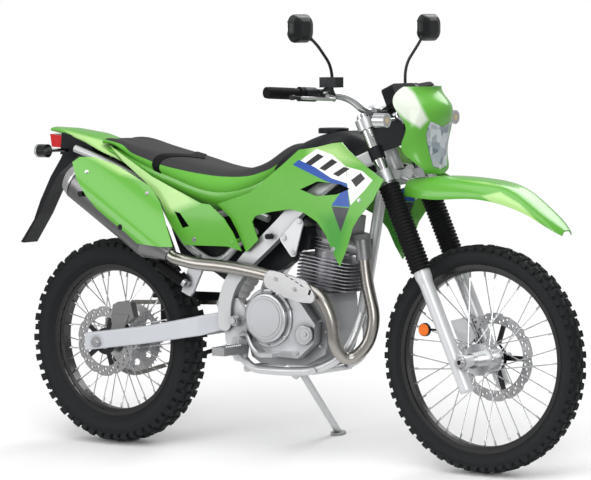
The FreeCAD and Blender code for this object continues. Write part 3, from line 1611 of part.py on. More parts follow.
def clamp_web(outline, rise, height):
    # A bridge between the fork legs; its outline holds (lead, side) points
    face = Part.Face(polygon_wire([on_axis(rise, lead, side) for lead, side in outline]))
    return face.extrude(fork_way * height)


def steering_clamps():
    rear, *front = clamp_shares
    half = [(-stem_radius * rear[0], leg_spread * rear[1])]
    half += [(leg_lead * lead, leg_spread * side) for lead, side in front]
    outline = half + [(lead, -side) for lead, side in reversed(half)]
    pieces = []
    for rise, height in ((clamp_low, clamp_low_height), (clamp_high, clamp_high_height)):
        pieces.append(clamp_web(outline, rise + weld_depth, height - 2 * weld_depth))
        for side in (-1, 1):
            pieces.append(rod(on_leg(rise, 0, side), on_leg(rise + height, 0, side),
                              fork_tube_radius + clamp_wall))
    stem = rod(on_axis(clamp_low + weld_depth), on_axis(clamp_high + clamp_high_height + weld_depth),
               stem_radius)
    nut = rod(on_axis(clamp_high + clamp_high_height), on_axis(clamp_high + clamp_high_height + weld_depth * 2),
              stem_radius + weld_depth)
    perches = []
    for side in (-1, 1):
        foot = on_axis(clamp_high + clamp_high_height / 2, bar_lead, side * perch_y)
        perches.append(rod(foot, Vec(bar_points()[0].x, side * perch_y, bar_points()[0].z),
                           bar_radius + weld_depth))
        ear = disc_block((bar_points()[0].x, bar_points()[0].z), bar_radius + weld_depth * 2,
                         side * perch_y - perch_half, side * perch_y + perch_half)
        perches.append(ear)
    posts = []
    for side in (-1, 1):
        start = on_axis(clamp_low + clamp_low_height / 2, leg_lead, side * perch_y)
        posts.append(rod(start, start + (fork_lead - fork_way * fender_post_drop) * fender_post_length,
                         post_radius))
    whole = joined(stem, pieces + [nut] + perches + posts)
    cuts = [rod(on_leg(slider_low, 0, side), on_leg(fork_top + overrun, 0, side),
                fork_tube_radius + running_gap)
            for side in (-1, 1)]
    bar_seat = disc_block((bar_points()[0].x, bar_points()[0].z), bar_radius + running_gap,
                          -perch_y * 2, perch_y * 2)
    return single(whole.cut(cuts + [bar_seat, fender_shape(seat_gap, True)]))


def fork_tubes():
    pieces = []
    for side in (-1, 1):
        bar = rod(on_leg(boot_low + seat_gap, 0, side), on_leg(fork_top - weld_depth, 0, side),
                  fork_tube_radius)
        cap = rod(on_leg(fork_top - weld_depth, 0, side), on_leg(fork_top, 0, side),
                  fork_tube_radius - weld_depth)
        pieces.append(joined(bar, [cap]))
    return Part.makeCompound(pieces)


def fork_boots():
    # Corrugated rubber between the slider's cup and the lower clamp
    inner = fork_tube_radius + running_gap
    length = boot_high - boot_low
    fold = length / boot_count
    outer = []
    for index in range(boot_count):
        start = fold * index
        outer += [(start, boot_radius - boot_fold), (start + fold / 2, boot_radius)]
    outer.append((length, boot_radius - boot_fold))
    profile = outer + [(length, inner), (0, inner)]
    return Part.makeCompound([revolved(profile, on_leg(boot_low + seat_gap, 0, side),
                                       fork_way) for side in (-1, 1)])


def fork_sliders():
    profile = [
        (slider_low, 0),
        (slider_low, slider_radius - panel_gap),
        (slider_low + panel_gap, slider_radius),
        (boot_low - overrun, slider_radius),
        (boot_low - overrun / 2, slider_radius + weld_depth),
        (boot_low, slider_radius + weld_depth),
        (boot_low, 0),
    ]
    sliders = []
    for side in (-1, 1):
        leg = revolved(profile, on_leg(0, 0, side), fork_way)
        low_y = side * (leg_spread - slider_radius)
        high_y = side * (leg_spread + slider_radius)
        middle = (front_axle.x, front_axle.z)
        lug = disc_block(middle, slider_radius - weld_depth, low_y, high_y)
        web = [on_leg(-slider_radius * 1.5, 0, 0), on_leg(slider_radius * 2.2, 0, 0),
               on_leg(slider_radius * 0.8, front_axle_lead, 0), on_leg(-slider_radius * 0.8,
                                                                       front_axle_lead, 0)]
        plate = slab([(p.x, p.z) for p in web], side * (leg_spread - lug_half),
                     side * (leg_spread + lug_half))
        bore = disc_block(middle, axle_radius + running_gap, -leg_spread - overrun, leg_spread + overrun)
        sliders.append(single(joined(leg, [lug, plate]).cut(bore)))
    return Part.makeCompound(sliders)


def axle_end_y():
    return leg_spread + slider_radius + axle_end_length


def front_axle_bar():
    # Its right end is bored for the pin of a wheel stand
    middle = (front_axle.x, front_axle.z)
    end_y = axle_end_y()
    bar = disc_block(middle, axle_radius, -end_y, end_y)
    pieces = []
    for side in (-1, 1):
        pieces.append(disc_block(middle, spacer_radius, side * (front_hub_end() + seat_gap),
                                 side * (leg_spread - slider_radius - seat_gap)))
        pieces.append(disc_block(middle, axle_nut_radius, side * (leg_spread + slider_radius + seat_gap),
                                 side * (end_y - weld_depth)))
    bore = disc_block(middle, axle_bore_radius, -end_y - overrun, -end_y + axle_bore_depth)
    return joined(bar, pieces).cut(bore)


def bar_points():
    # From the middle of the handlebar out to its left end
    middle = on_axis(clamp_high + clamp_high_height, bar_lead) + upward * bar_rise
    return [middle + Vec(bar_reach * a, bar_half * b, bar_height * c) for a, b, c in bar_shares]


def handlebar():
    half = bar_points()
    points = [Vec(p.x, -p.y, p.z) for p in reversed(half[1:])] + half[1:]
    return tube(points, bar_radius)


def bar_spot(y, lead=0.0, rise=0.0):
    # A point on the straight outer run of the left bar, moved forward and up
    inner, outer = bar_points()[-2:]
    share = (y - inner.y) / (outer.y - inner.y)
    return inner + (outer - inner) * share + Vec(lead, 0, rise)


def grips():
    sleeve = rod(bar_spot(bar_half - grip_length), bar_spot(bar_half + grip_end), grip_radius)
    collar = rod(bar_spot(bar_half - grip_length), bar_spot(bar_half - grip_length + grip_end * 2),
                 grip_radius + weld_depth)
    grip = joined(sleeve, [collar]).cut(rod(bar_spot(bar_half - grip_length * 2), bar_spot(bar_half),
                                            bar_radius + running_gap))
    return both_sides(single(grip))


def bar_controls():
    inner_end = bar_half - grip_length - panel_gap
    housing = rod(bar_spot(inner_end), bar_spot(inner_end - housing_length), housing_radius)
    perch_at = inner_end - housing_length - perch_half
    perch = rod(bar_spot(perch_at), bar_spot(perch_at - perch_length), housing_radius - weld_depth)
    arm = rod(bar_spot(perch_at - perch_length / 2), bar_spot(perch_at - perch_length / 2, lever_lead,
                                                              -lever_drop), lever_root)
    lever_points = [bar_spot(perch_at - perch_length / 2, lever_lead, -lever_drop),
                    bar_spot(inner_end - housing_length / 2, lever_lead + panel_gap, -lever_drop),
                    bar_spot(bar_half - grip_length * 0.35, lever_lead - panel_gap, -lever_drop)]
    lever = tube(lever_points, lever_root * 0.62)
    ball = rod(lever_points[-1] - across * lever_root, lever_points[-1] + across * lever_root / 2,
               lever_root)
    whole = joined(housing, [perch, arm, lever, ball])
    hole = rod(bar_spot(perch_at - perch_length * 3), bar_spot(bar_half), bar_radius + running_gap)
    left = single(whole.cut(hole))
    cup_low = bar_spot(perch_at - perch_length * 0.2, reservoir_lead, reservoir_rise)
    cup = block((cup_low.x - reservoir_length / 2, cup_low.y - reservoir_width / 2, cup_low.z),
                (cup_low.x + reservoir_length / 2, cup_low.y + reservoir_width / 2,
                 cup_low.z + reservoir_height))
    neck = rod(bar_spot(perch_at - perch_length * 0.2), cup_low + upward * weld_depth, lever_root)
    right = mirrored(joined(whole, [cup, neck]).cut(hole))
    return Part.makeCompound([left, single(right)])


def mirrors():
    inner_end = bar_half - grip_length - panel_gap
    perch_at = inner_end - housing_length - perch_half
    root = bar_spot(perch_at - perch_length, mirror_lead)
    points = [root - across * (mirror_root_gap), root + Vec(0, 0,
                                                            mirror_rise * 0.42) - across * mirror_root_gap,
              root + Vec(0, mirror_out * 0.55, mirror_rise * 0.80), root + Vec(-mirror_back, mirror_out,
                                                                               mirror_rise)]
    stem = tube(points, mirror_stem_radius)
    clip_start = bar_spot(perch_at - perch_length - mirror_root_gap)
    clip = rod(bar_spot(perch_at - perch_length - seat_gap),
               bar_spot(perch_at - perch_length - perch_half * 2), housing_radius - weld_depth)
    link = rod(clip_start, points[0] + upward * weld_depth, lever_root)
    center = points[-1]
    wires = []
    for back, share in ((0.0, 0.94), (0.30, 1.0), (0.75, 0.80), (1.0, 0.45)):
        spot = center + ahead * (mirror_depth * back)
        wires.append(rounded_rectangle(mirror_width * share, mirror_height * share,
                                       mirror_corner * share, spot, across, upward))
    head = ruled_body(wires)
    whole = joined(stem, [clip, link, head])
    hole = rod(bar_spot(perch_at - perch_length * 4), bar_spot(bar_half), bar_radius + running_gap)
    return both_sides(single(whole.cut(hole)))


def cowl_sections(back, inset, rows):
    wires = []
    for up, rear, front, wide in rows:
        z = cowl_z + cowl_height * up
        x_rear = cowl_x + cowl_depth * rear - back
        x_front = cowl_x + cowl_depth * front - inset
        half = cowl_half * wide - inset
        points = [Vec(x_rear + (x_front - x_rear) * a, half * b, z) for a, b in cowl_plan_shares]
        curve = Part.BSplineCurve()
        curve.interpolate(Points=points)
        edges = [curve.toShape(), Part.LineSegment(points[-1], points[0]).toShape()]
        wires.append(Part.Wire(edges))
    return wires


def cowl_solid(back=0.0, inset=0.0, rows=None):
    return smooth_body(cowl_sections(back, inset, rows or cowl_rows))


def lens_prism(grow):
    x_from = cowl_x - overrun
    corners = []
    for side, up in lens_shares:
        away = Vec(0, side, up - 0.5)
        center = Vec(x_from, 0, cowl_z + cowl_height * lens_middle)
        corner = center + Vec(0, lens_half * side, lens_height * (up - 0.5))
        corners.append(corner + away.normalize() * grow)
    face = Part.Face(polygon_wire(corners))
    return face.extrude(ahead * (cowl_depth + 3 * overrun))


def headlamp_cowl():
    outer = cowl_solid()
    inner = cowl_solid(overrun, panel_wall, cowl_rows)
    shell = outer.cut(inner)
    shell = max(shell.Solids, key=lambda solid: solid.Volume)
    return max(shell.cut(lens_prism(panel_gap / 2)).Solids, key=lambda solid: solid.Volume)


def headlamp_lens():
    outer = cowl_solid()
    inner = cowl_solid(lens_wall, lens_wall)
    return max(outer.cut(inner).common(lens_prism(-seat_gap)).Solids,
               key=lambda solid: solid.CenterOfMass.x)


def headlamp_body():
    bowl = cowl_solid(lens_wall, lens_wall + seat_gap)
    front = bowl.common(lens_prism(-panel_gap * 2))
    low = Vec(lamp_back_x, -lamp_half, cowl_z + cowl_height * lens_middle - lens_height / 2)
    high = Vec(cowl_x + cowl_depth, lamp_half, low.z + lens_height)
    return max(front.common(block(low, high)).Solids, key=lambda solid: solid.Volume)


def lamp_brackets():
    # Side plates from the fork tubes to the cowl, with the lamp's rear carrier
    outline = spots(bracket_shares, bracket_x, bracket_z, bracket_length, bracket_height)
    plate = slab(outline, bracket_y - plate_wall / 2, bracket_y)
    pieces = [plate, mirrored(plate)]
    for side in (-1, 1):
        pieces.append(rod(on_leg(bracket_rise, 0, side), on_leg(bracket_rise + clamp_low_height, 0, side),
                          fork_tube_radius + weld_depth))
    carrier = block((lamp_back_x - plate_wall, -bracket_y + weld_depth, bracket_z + bracket_height * 0.45),
                    (lamp_back_x - seat_gap, bracket_y - weld_depth, bracket_z + bracket_height * 0.70))
    lug_x = bracket_x + bracket_length - lug_radius
    lug_z = bracket_z + bracket_height * lug_rise_share
    lugs = disc_block((lug_x, lug_z), lug_radius, -cowl_half, cowl_half)
    lugs = lugs.cut(disc_block((lug_x, lug_z), lug_radius, -bracket_y + plate_wall, bracket_y - plate_wall))
    lugs = lugs.common(cowl_solid(overrun, panel_wall + seat_gap))
    arms = slab(spots(lug_arm_shares, bracket_x, bracket_z, bracket_length, bracket_height),
                bracket_y - plate_wall, bracket_y - plate_wall / 2)
    whole = joined(plate, pieces[1:] + [carrier, arms, mirrored(arms)] + lugs.Solids)
    cuts = [rod(on_leg(0, 0, side), on_leg(fork_top, 0, side),
                fork_tube_radius + running_gap) for side in (-1, 1)]
    cuts += [rod(on_leg(clamp_high - panel_gap, 0, side), on_leg(fork_top, 0, side),
                 fork_tube_radius + clamp_wall + seat_gap) for side in (-1, 1)]
    skin = cowl_solid(0, -seat_gap).cut(cowl_solid(overrun, panel_wall + seat_gap))
    return max(whole.cut(cuts + [skin]).Solids, key=lambda solid: solid.Volume)


def instrument():
    body = block((0, -dash_half, 0), (dash_depth, dash_half, dash_height))
    body = body.makeFillet(dash_corner, [e for e in body.Edges if abs(e.Vertexes[0].X - e.Vertexes[1].X) > dash_depth / 2])
    body.rotate(origin, across, -dash_tilt)
    body.translate(Vec(dash_x, 0, dash_z))
    rise = clamp_high + clamp_high_height - weld_depth + seat_gap
    foot = rod(on_axis(rise, dash_stem_lead), on_axis(rise + lever_root * 2, dash_stem_lead), lever_root)
    stem = rod(on_axis(rise + lever_root, dash_stem_lead),
               Vec(dash_x + dash_depth / 2, 0, dash_z + dash_height / 3),
               lever_root)
    return joined(body, [foot, stem])


def fender_shape(grow, filled):
    wires = []
    for along, top, side, wide in fender_rows:
        x = fender_x + fender_length * along
        outer = []
        inner = []
        for out, up in fender_plan_shares:
            z_top = fender_z + fender_height * top
            z_side = fender_z + fender_height * side
            half = fender_half * wide
            outer.append(Vec(x, out * (half + grow), z_side + (z_top + grow - z_side) * up))
            inner.append(Vec(x, out * (half - panel_wall), z_side + (z_top - panel_wall - z_side) * up))
        curve_out = Part.BSplineCurve()
        curve_out.interpolate(Points=outer)
        edges = [curve_out.toShape()]
        if filled:
            edges.append(Part.LineSegment(outer[-1], outer[0]).toShape())
        else:
            curve_in = Part.BSplineCurve()
            curve_in.interpolate(Points=inner[::-1])
            edges += [Part.LineSegment(outer[-1], inner[-1]).toShape(), curve_in.toShape(),
                      Part.LineSegment(inner[0], outer[0]).toShape()]
        wires.append(Part.Wire(edges))
    return smooth_body(wires)


def front_fender():
    return fender_shape(0, False)


def front_signals():
    root = Vec(signal_front_x, -bracket_y - seat_gap, signal_front_z)
    head = Vec(signal_front_x, -signal_front_y, signal_front_z)
    return both_sides(signal(root, head, ahead))


def front_caliper():
    center = on_leg(front_caliper_rise, -front_caliper_back, 0)
    inner_y = front_disc_y - caliper_half
    outer_y = leg_spread - slider_radius - seat_gap
    corners = [(-0.5, -0.5), (-0.35, 0.5), (0.35, 0.5), (0.5, -0.5)]
    outline = [center + fork_way * (caliper_length * a) + fork_lead * (caliper_height * b) for a,
               b in corners]
    body = slab([(p.x, p.z) for p in outline], inner_y, outer_y)
    lug_root = on_leg(front_caliper_rise, 0, 1)
    lug = rod(lug_root, Vec(center.x, leg_spread - slider_radius / 2, center.z), post_radius)
    link = rod(Vec(center.x, outer_y - weld_depth, center.z),
               Vec(center.x, leg_spread - slider_radius / 2, center.z), post_radius)
    slot = disc_block((front_axle.x, front_axle.z), front_disc_radius + panel_gap,
                      front_disc_y - disc_wall / 2 - caliper_slot, front_disc_y + disc_wall / 2 + caliper_slot)
    leg = rod(on_leg(slider_low, 0, 1), on_leg(boot_low, 0, 1), slider_radius + seat_gap)
    return single(joined(body, [lug, link]).cut([slot, leg]))


def model():
    nodes = {
        "main_frame": main_frame(),
        "pivot_bolt": pivot_bolt(),
        "subframe": subframe(),
        "crankcase": crankcase(),
        "engine_covers": engine_covers(),
        "drive_sprocket": drive_shaft(),
        "cylinder": cylinder(),
        "cylinder_head": cylinder_head(),
        "airbox": airbox(),
        "exhaust_header": exhaust_header(),
        "header_shield": header_shield(),
        "silencer": silencer(),
        "silencer_guard": silencer_guard(),
        "swingarm": swingarm(),
        "rear_axle": rear_axle_bar(),
        "shock_absorber": shock_absorber(),
        "drive_chain": drive_chain(),
        "chain_guard": chain_guard(),
        "fuel_tank": fuel_tank(),
        "fuel_cap": fuel_cap(),
        "shrouds": both_sides(shroud()),
        "seat": seat_solid(),
        "side_covers": both_sides(side_cover()),
        "rear_fender": rear_fender(),
        "tail_lamp": tail_lamp(),
        "plate_hanger": plate_hanger(),
        "rear_signals": rear_signals(),
        "rear_caliper": rear_caliper(),
        "foot_controls": foot_controls(),
        "footpegs": footpegs(),
        "passenger_pegs": passenger_pegs(),
        "steering_clamps": steering_clamps(),
        "fork_tubes": fork_tubes(),
        "fork_boots": fork_boots(),
        "fork_sliders": fork_sliders(),
        "front_axle": front_axle_bar(),
        "handlebar": handlebar(),
        "grips": grips(),
        "bar_controls": bar_controls(),
        "mirrors": mirrors(),
        "instrument": instrument(),
        "headlamp_cowl": headlamp_cowl(),
        "headlamp_lens": headlamp_lens(),
        "headlamp_body": headlamp_body(),
        "lamp_brackets": lamp_brackets(),
        "front_fender": front_fender(),
        "front_signals": front_signals(),
        "front_caliper": front_caliper(),
        "front_tyre": tyre(front_axle, front_tyre_radius, front_tyre_width, front_bead_radius,
                           front_rim_width),
        "front_spoked_wheel": spoked_wheel(front_axle, front_bead_radius, front_rim_width, front_hub_end()),
        "front_disc": brake_disc(front_axle, front_disc_radius, front_disc_y),
        "rear_tyre": tyre(rear_axle, rear_tyre_radius, rear_tyre_width, rear_bead_radius, rear_rim_width),
        "rear_spoked_wheel": spoked_wheel(rear_axle, rear_bead_radius, rear_rim_width, rear_hub_end()),
        "rear_disc": brake_disc(rear_axle, rear_disc_radius, -rear_disc_y),
        "rear_sprocket": chain_sprocket(rear_axle),
        "side_stand": side_stand(),
    }
    return nodes


def parked(nodes):
    # Lean the bike to its left, set it on the floor and centre its box over the origin
    tip = FreeCAD.Placement(origin, FreeCAD.Rotation(ahead, -lean_angle))
    leaned = {}
    whole = FreeCAD.BoundBox()
    for name, shape in nodes.items():
        turned = shape.copy()
        turned.Placement = tip.multiply(turned.Placement)
        leaned[name] = turned
        whole.add(turned.optimalBoundingBox(False, False))
    shift = Vec(-(whole.XMin + whole.XMax) / 2, -(whole.YMin + whole.YMax) / 2, contact_drop)
    for shape in leaned.values():
        shape.translate(shift)
    return leaned, FreeCAD.Placement(shift, FreeCAD.Rotation(ahead, -lean_angle))


def main():
    os.makedirs("parts", exist_ok=True)
    nodes, _ = parked(model())
    for name, shape in nodes.items():
        shape.exportStep("parts/" + name + ".step")


if __name__ == "__main__":
    main()
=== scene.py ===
import bpy
import bmesh
import json
import math
from mathutils import Matrix, Vector


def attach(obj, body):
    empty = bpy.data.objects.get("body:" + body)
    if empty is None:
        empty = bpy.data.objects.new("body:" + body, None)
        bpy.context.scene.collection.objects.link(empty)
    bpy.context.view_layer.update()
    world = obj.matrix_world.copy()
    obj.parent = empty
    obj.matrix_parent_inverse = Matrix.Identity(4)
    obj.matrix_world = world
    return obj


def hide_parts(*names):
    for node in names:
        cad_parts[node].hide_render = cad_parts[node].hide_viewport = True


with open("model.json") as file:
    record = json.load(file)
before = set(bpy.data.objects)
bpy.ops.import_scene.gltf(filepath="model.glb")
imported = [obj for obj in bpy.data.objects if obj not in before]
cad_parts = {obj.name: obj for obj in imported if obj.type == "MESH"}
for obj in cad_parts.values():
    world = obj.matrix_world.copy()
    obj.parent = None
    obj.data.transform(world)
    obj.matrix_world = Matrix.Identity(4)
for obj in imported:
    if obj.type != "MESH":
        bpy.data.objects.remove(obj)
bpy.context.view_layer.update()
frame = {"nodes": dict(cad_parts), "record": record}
nodes = frame["nodes"]
print("frame loaded")

# The bike's own axes, read from the rear wheel's joint: x ahead, y to its left, z up, in millimetres
joints = {joint["name"]: joint for joint in frame["record"]["behaviour"]["joints"]}
rearSpin = joints["rear_wheel_spin"]
hubHeight = 322
ahead = Vector((1, 0, 0))
across = Vector(rearSpin["axis"]).normalized()
upward = ahead.cross(across).normalized()
bikeOrigin = Vector(rearSpin["pos_m"]) - upward * hubHeight / 1000
bikeTurn = Matrix((ahead, across, upward)).transposed()


def spot(x, y, z):
    return bikeOrigin + bikeTurn @ (Vector((x, y, z)) / 1000)


def bikeMatrix(x=0, y=0, z=0):
    return Matrix.Translation(spot(x, y, z)) @ bikeTurn.to_4x4()


# Camera at the photograph's angle, in the bike's own axes
shot = {"lens": 204.7, "sensor": 36, "frame": (591, 480), "place": (6689.2, -8244.0, 1334.4),
        "azimuth": 36.043, "elevation": 3.778, "roll": -0.295, "clipEnd": 60}


def shotAxes():
    # The camera's right, up and back
    azimuth, elevation, roll = (math.radians(shot[key]) for key in ("azimuth", "elevation", "roll"))
    back = Vector((math.sin(azimuth) * math.cos(elevation), -math.cos(azimuth) * math.cos(elevation),
                   math.sin(elevation)))
    right = (-back).cross(Vector((0, 0, 1))).normalized()
    above = right.cross(-back)
    return (right * math.cos(roll) + above * math.sin(roll),
            above * math.cos(roll) - right * math.sin(roll), back)


def sightWay(u, v):
    # From the camera through one point of the picture
    right, above, back = shotAxes()
    focal = shot["lens"] / shot["sensor"] * shot["frame"][0]
    return (right * (u - shot["frame"][0] / 2) - above * (v - shot["frame"][1] / 2) - back * focal).normalized()


# Node helpers
def feed(tree, socket, value):
    # A link where the value is a socket, else a constant; a tuple is a colour and gets its alpha
    if isinstance(value, bpy.types.NodeSocket):
        tree.links.new(value, socket)
    elif isinstance(value, tuple):
        socket.default_value = (*value, 1)
    else:
        socket.default_value = value


def mathNode(tree, operation, *values, clamp=False):
    node = tree.nodes.new("ShaderNodeMath")
    node.operation = operation
    node.use_clamp = clamp
    for socket, value in zip(node.inputs, values):
        feed(tree, socket, value)
    return node.outputs[0]


def vectorNode(tree, operation, *values):
    node = tree.nodes.new("ShaderNodeVectorMath")
    node.operation = operation
    for socket, value in zip(node.inputs, values):
        feed(tree, socket, value)
    return node.outputs["Value" if operation in ("DOT_PRODUCT", "LENGTH") else "Vector"]


def mixColor(tree, mask, under, over):
    node = tree.nodes.new("ShaderNodeMix")
    node.data_type = "RGBA"
    for index, value in ((0, mask), (6, under), (7, over)):
        feed(tree, node.inputs[index], value)
    return node.outputs[2]


def bumpNode(tree, shader, height, strength, depth):
    relief = tree.nodes.new("ShaderNodeBump")
    relief.inputs["Strength"].default_value = strength
    relief.inputs["Distance"].default_value = depth
    tree.links.new(height, relief.inputs["Height"])
    tree.links.new(relief.outputs["Normal"], shader.inputs["Normal"])


def lowest(tree, masks):
    whole = masks[0]
    for mask in masks[1:]:
        whole = mathNode(tree, "MINIMUM", whole, mask)
    return whole


# Values that every finish shares: noise scales and details, how the painted shade in creases is made, and the
# relief in metres
surface = {"broadScale": 9, "broadDetail": 4, "fineDetail": 3, "creaseSamples": 6, "creasePower": 1.6,
           "creaseDark": 0.12, "coatRoughness": 0.08, "relief": 0.001}


# Shared effects, each a node group built once
def newGroup(name, inputs, outputs):
    group = bpy.data.node_groups.new(name, "ShaderNodeTree")
    for way, sockets in (("INPUT", inputs), ("OUTPUT", outputs)):
        for label, kind in sockets.items():
            group.interface.new_socket(label, in_out=way, socket_type="NodeSocket" + kind)
    return group, group.nodes.new("NodeGroupInput").outputs, group.nodes.new("NodeGroupOutput").inputs


def useGroup(tree, group, *values):
    node = tree.nodes.new("ShaderNodeGroup")
    node.node_tree = group
    for socket, value in zip(node.inputs, values):
        feed(tree, socket, value)
    return node.outputs


def buildBikeSpace():
    # The bike's own place in metres, and that place brought over to the camera's side of the bike
    group, _, given = newGroup("bikeSpace", {}, {"Place": "Vector", "Near": "Vector"})
    coords = group.nodes.new("ShaderNodeTexCoord")
    shift = vectorNode(group, "SUBTRACT", coords.outputs["Object"], bikeOrigin)
    x, y, z = (vectorNode(group, "DOT_PRODUCT", shift, way) for way in (ahead, across, upward))
    nearSide = mathNode(group, "MULTIPLY", mathNode(group, "ABSOLUTE", y), -1.0)
    for label, side in (("Place", y), ("Near", nearSide)):
        whole = group.nodes.new("ShaderNodeCombineXYZ")
        for socket, value in zip(whole.inputs, (x, side, z)):
            group.links.new(value, socket)
        group.links.new(whole.outputs[0], given[label])
    return group


def buildWear():
    # A broad mottle for colour and roughness, and a fine height for the bump
    group, asked, given = newGroup("wear", {"Scale": "Float"}, {"Mottle": "Float", "Height": "Float"})
    coords = group.nodes.new("ShaderNodeTexCoord")
    for label, scale, detail in (("Mottle", surface["broadScale"], surface["broadDetail"]),
                                 ("Height", asked["Scale"], surface["fineDetail"])):
        noise = group.nodes.new("ShaderNodeTexNoise")
        noise.inputs["Detail"].default_value = detail
        feed(group, noise.inputs["Scale"], scale)
        group.links.new(coords.outputs["Object"], noise.inputs["Vector"])
        group.links.new(noise.outputs["Fac"], given[label])
    return group


def buildCreaseShade():
    # Painted shade: 1 on an open surface, less where a neighbour is nearer than the distance
    group, asked, given = newGroup("creases", {"Distance": "Float"}, {"Open": "Float"})
    corners = group.nodes.new("ShaderNodeAmbientOcclusion")
    corners.samples = surface["creaseSamples"]
    group.links.new(asked["Distance"], corners.inputs["Distance"])
    group.links.new(mathNode(group, "POWER", corners.outputs["AO"], surface["creasePower"]), given["Open"])
    return group


def buildPolar():
    # Distance from a middle and angle round it, on two of the bike's coordinates
    labels = ("First", "Second", "First Middle", "Second Middle")
    group, asked, given = newGroup("polar", dict.fromkeys(labels, "Float"),
                                   {"Reach": "Float", "Angle": "Float"})
    first = mathNode(group, "SUBTRACT", asked["First"], asked["First Middle"])
    second = mathNode(group, "SUBTRACT", asked["Second"], asked["Second Middle"])
    squares = mathNode(group, "MULTIPLY_ADD", first, first, mathNode(group, "MULTIPLY", second, second))
    group.links.new(mathNode(group, "SQRT", squares), given["Reach"])
    group.links.new(mathNode(group, "ARCTAN2", second, first), given["Angle"])
    return group


def buildEdge():
    # 1 on the side of a plane that its normal points to, 0 on the other
    wanted = {"Place": "Vector", "Normal": "Vector", "Offset": "Float", "Sharpness": "Float"}
    group, asked, given = newGroup("edge", wanted, {"Mask": "Float"})
    along = vectorNode(group, "DOT_PRODUCT", asked["Place"], asked["Normal"])
    beyond = mathNode(group, "SUBTRACT", along, asked["Offset"])
    group.links.new(mathNode(group, "MULTIPLY_ADD", beyond, asked["Sharpness"], 0.5, clamp=True), given["Mask"])
    return group


bikeSpace = buildBikeSpace()
wear = buildWear()
creases = buildCreaseShade()
polar = buildPolar()
edgeMask = buildEdge()
crisp = 1500  # edge sharpness of a cut line


def bikePlace(tree):
    # The bike's x, y and z, in metres
    split = tree.nodes.new("ShaderNodeSeparateXYZ")
    tree.links.new(useGroup(tree, bikeSpace)["Place"], split.inputs[0])
    return split.outputs


def halfPlane(tree, place, first, second, sharpness):
    # 1 on the left of the line from the first to the second (x, z) point, in the side view
    start = Vector((first[0], 0, first[1])) / 1000
    run = Vector((second[0], 0, second[1])) / 1000 - start
    normal = Vector((-run.z, 0, run.x)).normalized()
    return useGroup(tree, edgeMask, place, normal, normal.dot(start), sharpness)["Mask"]


def aheadOf(tree, x):
    return halfPlane(tree, useGroup(tree, bikeSpace)["Place"], (x, 1), (x, 0), crisp)


def sidePatch(tree, corners, sharpness):
    # 1 inside a convex outline whose (x, z) corners run anticlockwise
    place = useGroup(tree, bikeSpace)["Place"]
    return lowest(tree, [halfPlane(tree, place, first, second, sharpness)
                         for first, second in zip(corners, corners[1:] + corners[:1])])


def sightPatch(tree, corners, sharpness):
    # 1 inside a convex outline seen from the camera, and the same on the bike's left side
    place = useGroup(tree, bikeSpace)["Near"]
    start = Vector(shot["place"]) / 1000
    ways = [sightWay(u, v) for u, v in corners]
    middle = sum(ways, Vector())
    masks = []
    for first, second in zip(ways, ways[1:] + ways[:1]):
        normal = first.cross(second).normalized()
        if normal.dot(middle) < 0:
            normal = -normal
        masks.append(useGroup(tree, edgeMask, place, normal, normal.dot(start), sharpness)["Mask"])
    return lowest(tree, masks)


# Finishes
def newMaterial(name):
    material = bpy.data.materials.new(name)
    material.use_nodes = True
    return material, material.node_tree, material.node_tree.nodes["Principled BSDF"]


def finish(name, color, roughness, metallic=0.0, grain=300, bump=0.05, spread=0.12, coat=0.0, tint=0.08,
           shine=0.5, crease=0.0):
    # Mottled roughness, a slightly uneven colour, a fine bump, and painted shade where a neighbour is nearer
    # than the last argument
    material, tree, shader = newMaterial(name)
    for label, value in (("Metallic", metallic), ("Coat Weight", coat), ("Specular IOR Level", shine),
                         ("Coat Roughness", surface["coatRoughness"])):
        shader.inputs[label].default_value = value
    marks = useGroup(tree, wear, grain)
    rough = mathNode(tree, "MULTIPLY_ADD", marks["Mottle"], spread, roughness - spread / 2)
    tree.links.new(rough, shader.inputs["Roughness"])
    tone = mixColor(tree, marks["Mottle"], tuple(channel * (1 - tint) for channel in color), color)
    # Painted shade in corners and creases, where neighbours are near
    if crease:
        shade = tuple(channel * surface["creaseDark"] for channel in color)
        tone = mixColor(tree, useGroup(tree, creases, crease)["Open"], shade, tone)
    tree.links.new(tone, shader.inputs["Base Color"])
    bumpNode(tree, shader, marks["Height"], bump, surface["relief"])
    return material, tree, shader, tone


def paint(*values, **extras):
    return finish(*values, **extras)[0]


# Colours; pale and mist are painted highlights on the panels and deep is painted shade
colors = {
    "green": (0.115, 0.41, 0.04),
    "white": (0.86, 0.87, 0.86),
    "blue": (0.012, 0.07, 0.36),
    "ink": (0.012, 0.012, 0.013),
    "seatTop": (0.028, 0.028, 0.030),
    "paleHighlight": (0.42, 0.68, 0.24),
    "slate": (0.035, 0.04, 0.05),
    "mistHighlight": (0.66, 0.72, 0.62),
    "deepShade": (0.055, 0.30, 0.035),
    "rim": (0.012, 0.012, 0.012),
}

